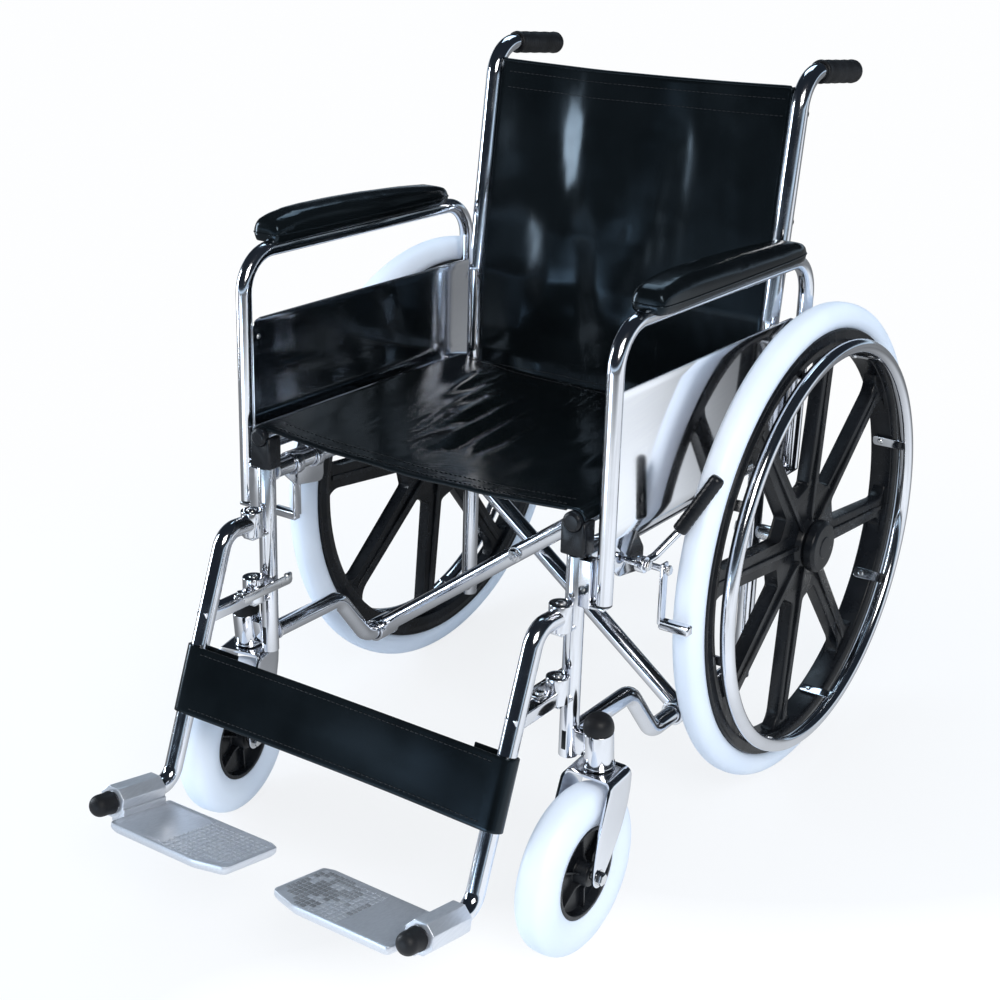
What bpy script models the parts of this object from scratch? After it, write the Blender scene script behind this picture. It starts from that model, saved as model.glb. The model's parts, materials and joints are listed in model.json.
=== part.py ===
# Folding wheelchair with mag wheels, scissor cross brace, lift-off armrests and swing-away footrests.
# Metres, +Z up. The chair faces -Y, x = 0 is its middle plane and z = 0 the floor.
# The origin lies on the floor under the middle of the whole chair. Left and right are the sitter's.

import math

import bmesh
import bpy
from mathutils import Matrix, Vector

GAP = 0.0003
MIRROR = Matrix.Scale(-1, 4, (1, 0, 0))

# Rear wheels, 24 inch
WHEEL_RADIUS = 0.305
WHEEL_X = 0.288
AXLE_Y = 0.225
TYRE_HALF_WIDTH = 0.018
RIM_RADIUS = 0.2745
RIM_INNER = 0.250
WHEEL_FACETS = 36
SPOKES = 8
SPOKE_PHASE = math.radians(33.75)
HANDRIM_RADIUS = 0.256
HANDRIM_OFFSET = 0.034
HANDRIM_TUBE = 0.009

# Front casters, 8 inch
CASTER_RADIUS = 0.100
CASTER_HALF_WIDTH = 0.0235
CASTER_X = 0.261
STEM_Y = -0.213
CASTER_TRAIL = 0.053
CASTER_CROWN = 0.205
CASTER_FACETS = 24
RIGHT_SWIVEL = math.radians(8.5)

# The frame, seat, armrests, brakes and footrests are drawn upright, then lean back on the wheels
# about this point: their sizes below are upright ones.
LEAN = math.radians(5.8)
LEAN_POINT = Vector((0.0, -0.177, 0.339))
LEANING = (Matrix.Translation(LEAN_POINT) @ Matrix.Rotation(-LEAN, 4, "X")
           @ Matrix.Translation(-LEAN_POINT))
AXLE_IN_FRAME = LEANING.inverted() @ Vector((0.0, AXLE_Y, WHEEL_RADIUS))

# Side frames of 22 mm tube
TUBE = 0.011
FRAME_X = 0.222
POST_Y = -0.203
POST_TOP = 0.4495
POST_FOOT = 0.207
LOW_RAIL_Z = 0.157
NECK_Z = 0.230
NECK_END = -0.0706
LOW_RAIL_START = -0.0120
HIGH_RAIL_Z = 0.442
SEAT_Z = 0.490
SEAT_FRONT = -0.216
SEAT_REAR = 0.205
BACK_Y = AXLE_IN_FRAME.y
BACK_FOOT = 0.138
BACK_BEND_Z = 0.620
HANDLE_Y = 0.2645
HANDLE_Z = 0.9175
BACK_SLOPE = (HANDLE_Y - BACK_Y) / (HANDLE_Z - BACK_BEND_Z)
HANDLE_DROP = math.radians(4.2)
HANDLE_LENGTH = 0.134

# Cross brace
FRONT_ARM_Y = 0.022
REAR_ARM_Y = 0.058
SLEEVE_HALF = 0.018

# Back sling
BACK_HEM = 0.478
BACK_TOP = 0.892

# Armrests of 19 mm tube
ARM_X = 0.256
ARM_TUBE = 0.0095
ARM_FRONT_Y = -0.199
ARM_REAR_Y = 0.2495
ARM_TOP = 0.7037
ARM_FRONT_FOOT = 0.398
ARM_REAR_FOOT = 0.432
SKIRT_FOOT = 0.458
SKIRT_TOP = 0.6265
PAD_X = 0.262
PAD_FRONT = -0.145
PAD_REAR = 0.197
PAD_DEPTH = 0.029

# Footrests
HINGE_Y = -0.231
HINGE_LOW_Z = 0.279
HINGE_HIGH_Z = 0.3655
HANGER_TOP = 0.386
HANGER_BEND_Y = -0.278
STRUT_Z = 0.292
STRUT_Y = -0.322
LATCH_X = 0.206
LATCH_PIN_X = 0.217
LATCH_PIN_Y = -0.259
LATCH_REAR = -0.179
PLATE_CORNER_Y = -0.3846
PLATE_CORNER_Z = 0.0973
PLATE_PITCH = math.radians(10.7)
PLATE_ALONG = Vector((0, -math.cos(PLATE_PITCH), math.sin(PLATE_PITCH)))
PLATE_UP = Vector((0, math.sin(PLATE_PITCH), math.cos(PLATE_PITCH)))
STUB_LENGTH = 0.116
BUMPER_START = 0.0965
BUMPER_END = 0.1240

# Brakes
LEVER_X = 0.257
LEVER_Y = -0.122
LEVER_Z = 0.420
GRIP_FOOT = (0.018, 0.048, 0.029)
GRIP_TOP = (0.049, 0.075, 0.092)
SHOE_X = 0.270
SHOE_Y = -0.094
SHOE_Z = 0.408

for old in list(bpy.data.objects):
    bpy.data.objects.remove(old, do_unlink=True)

chair = bpy.data.collections.new("folding_wheelchair")
bpy.context.scene.collection.children.link(chair)


def material(name, colour, roughness, metallic=0.0):
    """One plain surface finish."""
    finish = bpy.data.materials.new(name)
    finish.use_nodes = True
    shader = finish.node_tree.nodes["Principled BSDF"]
    shader.inputs["Base Color"].default_value = (*colour, 1.0)
    shader.inputs["Roughness"].default_value = roughness
    shader.inputs["Metallic"].default_value = metallic
    finish.diffuse_color = (*colour, 1.0)
    return finish


CHROME = material("chrome_tube", (0.82, 0.83, 0.86), 0.10, 1.0)
ALUMINIUM = material("cast_aluminium", (0.70, 0.71, 0.72), 0.32, 1.0)
SHEET = material("polished_sheet", (0.75, 0.76, 0.80), 0.16, 1.0)
TYRE = material("grey_tyre", (0.66, 0.71, 0.80), 0.45)
PLASTIC = material("black_plastic", (0.018, 0.020, 0.024), 0.38)
RUBBER = material("black_rubber", (0.022, 0.022, 0.024), 0.62)
VINYL = material("black_vinyl", (0.012, 0.014, 0.017), 0.36)


# Making and joining solids

def link(obj):
    chair.objects.link(obj)
    return obj


def from_bmesh(name, bm):
    mesh = bpy.data.meshes.new(name)
    bm.to_mesh(mesh)
    bm.free()
    return link(bpy.data.objects.new(name, mesh))


def discard(obj):
    bpy.data.objects.remove(obj, do_unlink=True)


def solid(obj):
    """The object as a plain welded mesh in world space, with its modifiers applied."""
    bpy.context.view_layer.update()
    graph = bpy.context.evaluated_depsgraph_get()
    mesh = bpy.data.meshes.new_from_object(obj.evaluated_get(graph))
    mesh.transform(obj.matrix_world)
    bm = bmesh.new()
    bm.from_mesh(mesh)
    bmesh.ops.remove_doubles(bm, verts=bm.verts, dist=0.00001)
    bm.to_mesh(mesh)
    bm.free()
    name = obj.name
    discard(obj)
    return link(bpy.data.objects.new(name, mesh))


def combine(base, others, operation):
    base = solid(base)
    for other in others:
        other = solid(other)
        boolean = base.modifiers.new("join", "BOOLEAN")
        boolean.operation = operation
        boolean.object = other
        base = solid(base)
        discard(other)
    return tidy(base)


def tidy(obj):
    """Merge the flat fragments that Booleans leave."""
    bm = bmesh.new()
    bm.from_mesh(obj.data)
    bmesh.ops.dissolve_limit(bm, angle_limit=math.radians(0.4), verts=bm.verts, edges=bm.edges)
    bmesh.ops.triangulate(bm, faces=bm.faces)
    bm.to_mesh(obj.data)
    bm.free()
    return obj


def fuse(base, *others):
    return combine(base, others, "UNION")


def cut(base, *cutters):
    return combine(base, cutters, "DIFFERENCE")


def carry(obj, axis):
    """Parent the object to an empty without moving it."""
    bpy.context.view_layer.update()
    obj.parent = axis
    obj.matrix_parent_inverse = axis.matrix_world.inverted()


def named(obj, name, finish, axis=None, level=False):
    """Final name and finish, the frame's lean, and the empty on the joint axis that carries the piece."""
    obj = solid(obj)
    if not level:
        obj.data.transform(LEANING)
    obj.name = name
    obj.data.name = name
    obj.data.materials.clear()
    obj.data.materials.append(finish)
    obj.data.shade_smooth()
    obj.data.set_sharp_from_angle(angle=math.radians(35))
    if axis is not None:
        carry(obj, axis)


def pair(obj, name, finish, axes=(None, None), level=False):
    """The piece as built on the left of the chair, and its mirror image on the right."""
    obj = solid(obj)
    mesh = obj.data.copy()
    mesh.transform(MIRROR)
    mesh.flip_normals()
    twin = link(bpy.data.objects.new("twin", mesh))
    named(obj, f"left_{name}", finish, axes[0], level)
    named(twin, f"right_{name}", finish, axes[1] or right_frame_axis, level)


def axis_empty(name, point, parent=None, level=False):
    empty = bpy.data.objects.new(name, None)
    empty.empty_display_size = 0.05
    place = Matrix.Translation(point)
    empty.matrix_world = place if level else LEANING @ place
    link(empty)
    if parent is not None:
        carry(empty, parent)
    return empty


def axis_pair(name, point, parents=(None, None), level=False):
    left = axis_empty(f"left_{name}", point, parents[0], level)
    right = axis_empty(f"right_{name}", MIRROR @ Vector(point), parents[1] or right_frame_axis, level)
    return left, right


# Basic shapes

def frame_matrix(origin, across, up):
    """Local X along across, local Y along up, local Z their normal."""
    across = Vector(across).normalized()
    normal = across.cross(Vector(up)).normalized()
    up = normal.cross(across)
    turn = Matrix((across, up, normal)).transposed().to_4x4()
    return Matrix.Translation(Vector(origin)) @ turn


def axis_matrix(origin, axis, phase=0.0):
    """Local Z along the axis, turned about it by the phase."""
    turn = Vector(axis).to_track_quat("Z", "Y").to_matrix().to_4x4()
    return Matrix.Translation(Vector(origin)) @ turn @ Matrix.Rotation(phase, 4, "Z")


def rounded(points, radius, steps=4):
    """A polyline whose inner corners are replaced by arcs of the given radius."""
    points = [Vector(p) for p in points]
    result = [points[0]]
    for before, corner, after in zip(points, points[1:], points[2:]):
        into = (corner - before).normalized()
        out = (after - corner).normalized()
        turn = into.angle(out)
        reach = radius * math.tan(turn / 2)
        inward = (out - into).normalized()
        centre = corner + inward * (radius / math.cos(turn / 2))
        normal = into.cross(out).normalized()
        start = corner - into * reach
        for step in range(steps + 1):
            spin = Matrix.Rotation(turn * step / steps, 3, normal)
            result.append(centre + spin @ (start - centre))
    result.append(points[-1])
    return result


def tube(points, radius, sides=10):
    curve = bpy.data.curves.new("tube", "CURVE")
    curve.dimensions = "3D"
    curve.bevel_depth = radius
    curve.bevel_resolution = (sides - 4) // 2
    curve.use_fill_caps = True
    spline = curve.splines.new("POLY")
    spline.points.add(len(points) - 1)
    for point, place in zip(spline.points, points):
        point.co = (*place, 1.0)
    return link(bpy.data.objects.new("tube", curve))


def rod(start, end, radius, sides=12):
    start = Vector(start)
    end = Vector(end)
    length = (end - start).length
    bm = bmesh.new()
    bmesh.ops.create_cone(bm, cap_ends=True, segments=sides, radius1=radius, radius2=radius, depth=length)
    obj = from_bmesh("rod", bm)
    obj.matrix_world = axis_matrix((start + end) / 2, end - start)
    return obj


def block(low, high, bevel=0.0):
    low = Vector(low)
    high = Vector(high)
    size = high - low
    bm = bmesh.new()
    bmesh.ops.create_cube(bm, size=1.0)
    bmesh.ops.scale(bm, vec=[abs(part) for part in size], verts=bm.verts)
    obj = from_bmesh("block", bm)
    obj.location = (low + high) / 2
    if bevel:
        edge = obj.modifiers.new("edge", "BEVEL")
        edge.width = bevel
        edge.segments = 1
    return obj


def turned(profile, origin, axis, steps, phase=0.0, ring=False):
    """A turned solid: the profile holds (radius, height) pairs along the axis."""
    area = sum(a[0] * b[1] - b[0] * a[1] for a, b in zip(profile, profile[1:] + profile[:1]))
    if area > 0:
        profile = profile[::-1]
    bm = bmesh.new()
    verts = [bm.verts.new((radius, 0.0, height)) for radius, height in profile]
    for a, b in zip(verts, verts[1:]):
        bm.edges.new((a, b))
    if ring:
        bm.edges.new((verts[-1], verts[0]))
    obj = from_bmesh("turned", bm)
    screw = obj.modifiers.new("turn", "SCREW")
    screw.steps = steps
    screw.render_steps = steps
    screw.use_merge_vertices = True
    screw.merge_threshold = 0.00001
    obj.matrix_world = axis_matrix(origin, axis, phase)
    return obj


def slab(outline, thickness, place, holes=()):
    """A flat outline in the local XY plane, thickened evenly to both sides."""
    curve = bpy.data.curves.new("slab", "CURVE")
    curve.dimensions = "2D"
    curve.fill_mode = "BOTH"
    curve.extrude = thickness / 2
    for loop in [outline, *holes]:
        spline = curve.splines.new("POLY")
        spline.use_cyclic_u = True
        spline.points.add(len(loop) - 1)
        for point, place_2d in zip(spline.points, loop):
            point.co = (place_2d[0], place_2d[1], 0.0, 1.0)
    obj = link(bpy.data.objects.new("slab", curve))
    obj.matrix_world = place
    return obj


def smooth_corners(corners, steps=3):
    """A closed outline from (x, y, corner radius) triples."""
    outline = []
    count = len(corners)
    for index, (x, y, radius) in enumerate(corners):
        corner = Vector((x, y))
        before = Vector(corners[index - 1][:2])
        after = Vector(corners[(index + 1) % count][:2])
        if radius == 0:
            outline.append(corner)
            continue
        into = (corner - before).normalized()
        out = (after - corner).normalized()
        turn = into.angle(out)
        reach = radius * math.tan(turn / 2)
        centre = corner + (out - into).normalized() * (radius / math.cos(turn / 2))
        sign = 1 if into.x * out.y - into.y * out.x > 0 else -1
        start = corner - into * reach - centre
        for step in range(steps + 1):
            angle = sign * turn * step / steps
            spun = Vector((start.x * math.cos(angle) - start.y * math.sin(angle),
                           start.x * math.sin(angle) + start.y * math.cos(angle)))
            outline.append(centre + spun)
    return outline


def sheet(rows, thickness):
    """A cloth or strap from rows of points, thickened evenly to both sides."""
    bm = bmesh.new()
    grid = [[bm.verts.new(point) for point in row] for row in rows]
    for low, high in zip(grid, grid[1:]):
        for a, b, c, d in zip(low, low[1:], high[1:], high):
            bm.faces.new((a, b, c, d))
    obj = from_bmesh("sheet", bm)
    shell = obj.modifiers.new("thickness", "SOLIDIFY")
    shell.thickness = thickness
    shell.offset = 0.0
    return obj


def cushion(stations, place):
    """A crowned pad on a flat base from (distance, half width, height) stations along local X."""
    bm = bmesh.new()
    crease = bm.edges.layers.float.new("crease_edge")
    rings = []
    for along, half, height in stations:
        section = [(-half, 0.0), (-half, height * 0.55), (-half * 0.62, height), (half * 0.62, height),
                   (half, height * 0.55), (half, 0.0)]
        rings.append([bm.verts.new((along, side, up)) for side, up in section])
    for low, high in zip(rings, rings[1:]):
        for a, b, c, d in zip(low, low[1:] + low[:1], high[1:] + high[:1], high):
            bm.faces.new((a, b, c, d))
    bm.faces.new(rings[0][::-1])
    bm.faces.new(rings[-1])
    bmesh.ops.recalc_face_normals(bm, faces=bm.faces)
    for edge in bm.edges:
        raised = any(vert.co.z > 0 for face in edge.link_faces for vert in face.verts)
        if raised and all(vert.co.z == 0 for vert in edge.verts):
            edge[crease] = 1.0
    obj = from_bmesh("cushion", bm)
    obj.matrix_world = place
    obj.modifiers.new("soft", "SUBSURF").levels = 1
    return obj


def ring_profile(inner, half_inner, points):
    """A closed ring profile from its upper outer points, mirrored about its middle."""
    upper = [(inner, half_inner), *points]
    return upper + [(radius, -height) for radius, height in reversed(upper)]


# Rear wheels

def rear_tyre(axes):
    outer = WHEEL_RADIUS / math.cos(math.pi / WHEEL_FACETS)
    profile = ring_profile(RIM_RADIUS / math.cos(math.pi / WHEEL_FACETS) + GAP, 0.013, [
        (0.284, TYRE_HALF_WIDTH), (0.295, 0.0165), (outer - 0.003, 0.0105), (outer, 0.004)])
    body = turned(profile, (WHEEL_X, AXLE_Y, WHEEL_RADIUS), (1, 0, 0),
                  WHEEL_FACETS, math.pi / WHEEL_FACETS, ring=True)
    pair(body, "tyre", TYRE, axes, level=True)


def spoke_opening():
    """Outline of the gap between two spokes, symmetric about local X, its outer end inside the rim."""
    half = math.pi / SPOKES
    hub_edge = 0.078
    spoke_half = 0.0130
    inner_y = hub_edge * math.tan(half) - 0.0155 / math.cos(half)
    outer = RIM_INNER + 0.003
    outer_angle = half - spoke_half / outer
    corners = [(hub_edge, -inner_y, 0.007)]
    corners.append((outer * math.cos(outer_angle), -outer * math.sin(outer_angle), 0.024))
    corners += [(outer * math.cos(a), outer * math.sin(a), 0)
                for a in (-outer_angle / 3, outer_angle / 3)]
    corners.append((outer * math.cos(outer_angle), outer * math.sin(outer_angle), 0.024))
    corners.append((hub_edge, inner_y, 0.007))
    return smooth_corners(corners, 2)


def mag_wheel(axes):
    centre = Vector((WHEEL_X, AXLE_Y, WHEEL_RADIUS))
    outward = Vector((1, 0, 0))
    rim = turned(ring_profile(RIM_INNER, 0.0145, [(0.262, 0.0175), (RIM_RADIUS, 0.0140)]),
                 centre, (1, 0, 0), WHEEL_FACETS, math.pi / WHEEL_FACETS, ring=True)
    place = frame_matrix(centre, (0, 1, 0), (0, 0, 1))
    disc = RIM_INNER + 0.007
    circle = [(disc * math.cos(math.tau * k / WHEEL_FACETS), disc * math.sin(math.tau * k / WHEEL_FACETS))
              for k in range(WHEEL_FACETS)]
    holes = []
    for k in range(SPOKES):
        turn = Matrix.Rotation(SPOKE_PHASE + math.tau * (k + 0.5) / SPOKES, 2)
        holes.append([turn @ point for point in spoke_opening()])
    star = slab(circle, 0.018, place, holes)
    hub = turned([(0.0, 0.0352), (0.029, 0.0345), (0.0335, 0.031), (0.0335, 0.021), (0.027, 0.016),
                  (0.034, 0.008), (0.034, -0.012), (0.024, -0.027), (0.0, -0.027)], centre, outward, 14)
    bore = rod(centre - outward * 0.040, centre + outward * 0.0235, 0.0069, 12)
    ribs = []
    for k in range(SPOKES):
        angle = SPOKE_PHASE + math.tau * k / SPOKES
        along = Vector((0, math.cos(angle), math.sin(angle)))
        outline = [(0.020, -0.0135), (0.241, -0.0105), (0.241, 0.0105), (0.020, 0.0135)]
        ribs.append(slab(outline, 0.007, frame_matrix(centre, along, outward)))
    wheel = cut(fuse(rim, star, hub, *ribs), bore)
    pair(wheel, "mag_wheel", PLASTIC, axes, level=True)


def handrim(axes):
    centre = Vector((WHEEL_X + HANDRIM_OFFSET, AXLE_Y, WHEEL_RADIUS))
    section = [(HANDRIM_RADIUS + HANDRIM_TUBE * math.cos(math.tau * k / 6),
                HANDRIM_TUBE * math.sin(math.tau * k / 6)) for k in range(6)]
    hoop = turned(section, centre, (1, 0, 0), WHEEL_FACETS, math.pi / WHEEL_FACETS, ring=True)
    tabs = []
    strap = RIM_INNER * math.cos(math.pi / WHEEL_FACETS) - GAP - 0.0016
    for k in range(SPOKES):
        angle = SPOKE_PHASE + math.tau * (k + 0.5) / SPOKES
        out = Vector((0, math.cos(angle), math.sin(angle)))
        middle = Vector((WHEEL_X + 0.0125, AXLE_Y, WHEEL_RADIUS)) + out * strap
        outline = [(-0.0225, -0.004), (-0.0195, -0.007), (0.0225, -0.007), (0.0225, 0.007), (-0.0195, 0.007),
                   (-0.0225, 0.004)]
        tabs.append(slab(outline, 0.0028, frame_matrix(middle, (1, 0, 0), out.cross((1, 0, 0)))))
    pair(fuse(hoop, *tabs), "handrim", CHROME, axes, level=True)


def wheel_axle():
    profile = [(0.0, 0.2000), (0.0092, 0.2000), (0.0092, FRAME_X - TUBE - GAP), (0.006, FRAME_X - TUBE - GAP),
               (0.006, FRAME_X + TUBE + GAP), (0.010, FRAME_X + TUBE + GAP), (0.010, 0.2590),
               (0.006, 0.2590), (0.006, 0.3080), (0.0, 0.3080)]
    bolt = turned(profile, (0, AXLE_Y, WHEEL_RADIUS), (1, 0, 0), 12)
    pair(bolt, "wheel_axle", CHROME, level=True)


# Casters

def caster_fork(axes):
    axle_y = STEM_Y - CASTER_TRAIL
    half = 0.0307
    crown = CASTER_CROWN
    corner = 0.006
    path = [(half, z) for z in (0.0893, 0.0925, 0.100, 0.115, 0.135, 0.158, 0.182)]
    path += [(half - corner + corner * math.cos(a), crown - corner + corner * math.sin(a))
             for a in (0, math.radians(45), math.radians(90))]
    path += [(-x, z) for x, z in reversed(path)]
    rows = []
    for x, z in path:
        if z < 0.100:
            reach = math.sqrt(max(0.0115 ** 2 - (0.100 - z) ** 2, 0.0030 ** 2))
            lead, trail = axle_y - reach, axle_y + reach
        else:
            rise = (z - 0.100) / (crown - 0.100)
            lead = axle_y - 0.0115 + 0.040 * rise ** 1.6
            trail = axle_y + 0.0115 + 0.0585 * (1 - (1 - rise) ** 2)
        rows.append([(CASTER_X + x, lead, z), (CASTER_X + x, trail, z)])
    strap = sheet(rows, 0.0032)
    stem = rod((CASTER_X, STEM_Y, crown), (CASTER_X, STEM_Y, 0.2455), 0.0072, 12)
    nut = rod((CASTER_X, STEM_Y, 0.2400), (CASTER_X, STEM_Y, 0.2475), 0.0078, 6)
    bolt = rod((CASTER_X - 0.0375, axle_y, 0.100), (CASTER_X + 0.0375, axle_y, 0.100), 0.0040, 10)
    heads = [rod((CASTER_X + end * 0.0315, axle_y, 0.100),
                 (CASTER_X + end * 0.0385, axle_y, 0.100), 0.0078, 6) for end in (-1, 1)]
    pair(fuse(strap, stem, nut, bolt, *heads), "caster_fork", CHROME, axes, level=True)


def caster_wheel(axes):
    centre = (CASTER_X, STEM_Y - CASTER_TRAIL, CASTER_RADIUS)
    flat = math.pi / CASTER_FACETS
    outer = CASTER_RADIUS / math.cos(flat)
    tyre = turned(ring_profile(0.0550, 0.0170, [
        (0.071, CASTER_HALF_WIDTH), (0.087, 0.0218), (outer - 0.0035, 0.013), (outer, 0.0045)]),
        centre, (1, 0, 0), CASTER_FACETS, flat, ring=True)
    pair(tyre, "caster_tyre", TYRE, axes, level=True)
    disc = turned(ring_profile(0.0047, 0.0225, [
        (0.014, 0.0225), (0.017, 0.0070), (0.048, 0.0060), (0.050, 0.0165), (0.0545, 0.0165)]),
        centre, (1, 0, 0), 14, ring=True)
    ribs = []
    for k in range(6):
        angle = math.tau * (k + 0.5) / 6
        across = Vector((0, math.cos(angle), math.sin(angle)))
        outline = [(0.0150, -0.0135), (0.0505, -0.0120), (0.0505, 0.0120), (0.0150, 0.0135)]
        ribs.append(slab(outline, 0.0018, frame_matrix(centre, across, (1, 0, 0))))
    pair(fuse(disc, *ribs), "caster_hub", PLASTIC, axes, level=True)


def caster_housing():
    x = CASTER_X
    barrel = turned([(0.0085, 0.2085), (0.0170, 0.2085), (0.0170, 0.2520), (0.0085, 0.2520)],
                    (x, STEM_Y, 0), (0, 0, 1), 16, ring=True)
    web = block((FRAME_X + TUBE + 0.0005, STEM_Y - 0.007, 0.2160), (0.2500, STEM_Y + 0.007, 0.2460))
    pair(fuse(barrel, web), "caster_housing", CHROME, level=True)
    cap = turned([(0.0, 0.2523), (0.0165, 0.2523), (0.0175, 0.2560), (0.0170, 0.2640), (0.0120, 0.2705),
                  (0.0, 0.2725)], (x, STEM_Y, 0), (0, 0, 1), 14)
    pair(cap, "caster_cap", RUBBER, level=True)


# Side frames

def armrest_socket(post_y, leg_y, foot, top):
    """Plate, foot tab and the peg that a hollow armrest leg drops over."""
    low_y = min(post_y, leg_y) - 0.0075
    high_y = max(post_y, leg_y) + 0.0045
    x = ARM_X
    plate = block((FRAME_X + 0.007, low_y, foot - 0.006),
                  (ARM_X - ARM_TUBE - 0.0019, high_y, top), 0.0015)
    tab = block((FRAME_X + 0.014, low_y + 0.001, foot - 0.005),
                (x + 0.006, high_y + 0.003, foot - 0.0008))
    peg = rod((x, leg_y, foot - 0.003), (x, leg_y, foot + 0.044), 0.0062, 10)
    return fuse(plate, tab, peg)


def back_post():
    x = FRAME_X
    handle_end = Vector((x, HANDLE_Y + HANDLE_LENGTH * math.cos(HANDLE_DROP),
                         HANDLE_Z - HANDLE_LENGTH * math.sin(HANDLE_DROP)))
    line = rounded([(x, BACK_Y, BACK_BEND_Z - 0.05), (x, BACK_Y, BACK_BEND_Z),
                    (x, HANDLE_Y, HANDLE_Z), handle_end], 0.045)
    post = tube([(x, BACK_Y, BACK_FOOT), *line], TUBE, 10)
    hole = rod((x - 0.02, BACK_Y, AXLE_IN_FRAME.z), (x + 0.02, BACK_Y, AXLE_IN_FRAME.z), 0.0066, 16)
    socket = armrest_socket(BACK_Y, ARM_REAR_Y, ARM_REAR_FOOT, 0.490)
    pair(fuse(cut(post, hole), socket), "back_post", CHROME)
    push_grip(handle_end)


def push_grip(handle_end):
    back = Vector((0, math.cos(HANDLE_DROP), -math.sin(HANDLE_DROP)))
    length = 0.098
    start = handle_end - back * (length - 0.006)
    profile = [(0.0, length - 0.003), (0.0119, length - 0.003), (0.0119, 0.0), (0.0178, 0.0), (0.0182, 0.004),
               (0.0152, 0.008)]
    for k in range(3):
        profile += [(0.0160, 0.018 + 0.025 * k), (0.0148, 0.0305 + 0.025 * k)]
    profile += [(0.0158, 0.093), (0.0125, length + 0.002), (0.0, length + 0.003)]
    grip = turned(profile, start, back, 10)
    pair(grip, "push_grip", RUBBER)


def front_post():
    x = FRAME_X
    post = turned([(0.0, POST_FOOT + 0.03), (0.0090, POST_FOOT + 0.03), (0.0090, POST_FOOT), (TUBE, POST_FOOT),
                   (TUBE, POST_TOP), (0.0, POST_TOP)], (x, POST_Y, 0), (0, 0, 1), 12)
    pieces = [armrest_socket(POST_Y, ARM_FRONT_Y, ARM_FRONT_FOOT, 0.448)]
    for low, height in ((HINGE_HIGH_Z, 0.026), (HINGE_LOW_Z, 0.024)):
        pieces.append(block((x - 0.008, HINGE_Y - 0.008, low), (x + 0.008, POST_Y - 0.006, low + 0.004), 0.0015))
        pieces.append(rod((x, HINGE_Y, low + 0.001), (x, HINGE_Y, low + height), 0.0042, 8))
    pair(fuse(post, *pieces), "front_post", CHROME)


def side_rails():
    x = FRAME_X
    line = rounded([(x, POST_Y + TUBE + GAP, NECK_Z), (x, NECK_END, NECK_Z), (x, LOW_RAIL_START, LOW_RAIL_Z),
                    (x, BACK_Y - TUBE - GAP, LOW_RAIL_Z)], 0.030, 3)
    pair(tube(line, TUBE, 10), "lower_rail", CHROME)
    straight = [(x, POST_Y + TUBE + GAP, HIGH_RAIL_Z), (x, BACK_Y - TUBE - GAP, HIGH_RAIL_Z)]
    pair(tube(straight, TUBE, 10), "upper_rail", CHROME)


def seat_saddles():
    """Plastic cradles on the front post and the upper rail that the seat rail drops into."""
    x = FRAME_X
    front = block((x - 0.0155, POST_Y - 0.012, POST_TOP + GAP), (x + 0.0155, POST_Y + 0.0108, SEAT_Z), 0.002)
    rear = block((x - 0.0155, 0.116, HIGH_RAIL_Z + 0.002), (x + 0.0155, 0.144, SEAT_Z), 0.002)
    groove = [rod((x, y - 0.03, SEAT_Z), (x, y + 0.03, SEAT_Z), 0.0118, 16) for y in (POST_Y, 0.130)]
    seat = rod((x, 0.10, HIGH_RAIL_Z), (x, 0.16, HIGH_RAIL_Z), 0.0117, 16)
    pair(cut(front, groove[0]), "front_saddle", PLASTIC)
    pair(cut(rear, groove[1], seat), "rear_saddle", PLASTIC)


# Cross brace

def cross_arm(side, y):
    """Arm from the lower rail on this side (1 for the left) to the seat rail on the other."""
    foot = Vector((side * FRAME_X, y, LOW_RAIL_Z))
    head = Vector((-side * FRAME_X, y, SEAT_Z))
    along = (head - foot).normalized()
    middle = (foot + head) / 2
    arm = rod(foot, head - along * (TUBE + 0.0006), TUBE, 12)
    sleeve = rod(foot - Vector((0, SLEEVE_HALF, 0)), foot + Vector((0, SLEEVE_HALF, 0)), 0.0152, 12)
    bore = rod(foot - Vector((0, 0.04, 0)), foot + Vector((0, 0.04, 0)), 0.0119, 12)
    hole = rod(middle - Vector((0, 0.03, 0)), middle + Vector((0, 0.03, 0)), 0.0047, 10)
    return cut(fuse(arm, sleeve), bore, hole)


def cross_brace(rear_axis, front_axis):
    named(cross_arm(1, REAR_ARM_Y), "cross_arm_rear", CHROME, rear_axis)
    named(cross_arm(-1, FRONT_ARM_Y), "cross_arm_front", CHROME, front_axis)
    middle_z = (LOW_RAIL_Z + SEAT_Z) / 2
    front = FRONT_ARM_Y - TUBE - GAP
    rear = REAR_ARM_Y + TUBE + GAP
    shank = rod((0, front - 0.003, middle_z), (0, rear + 0.003, middle_z), 0.0040, 10)
    head = rod((0, front - 0.0050, middle_z), (0, front, middle_z), 0.0080, 6)
    nut = rod((0, rear, middle_z), (0, rear + 0.0060, middle_z), 0.0080, 6)
    washer = rod((0, FRONT_ARM_Y + TUBE + GAP, middle_z), (0, REAR_ARM_Y - TUBE - GAP, middle_z), 0.0100, 12)
    named(fuse(shank, head, nut, washer), "cross_pivot_bolt", CHROME, rear_axis)
    rail = tube([(FRAME_X, SEAT_FRONT, SEAT_Z), (FRAME_X, SEAT_REAR, SEAT_Z)], TUBE, 12)
    pair(rail, "seat_rail", CHROME, (front_axis, rear_axis))


# Armrests

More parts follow.
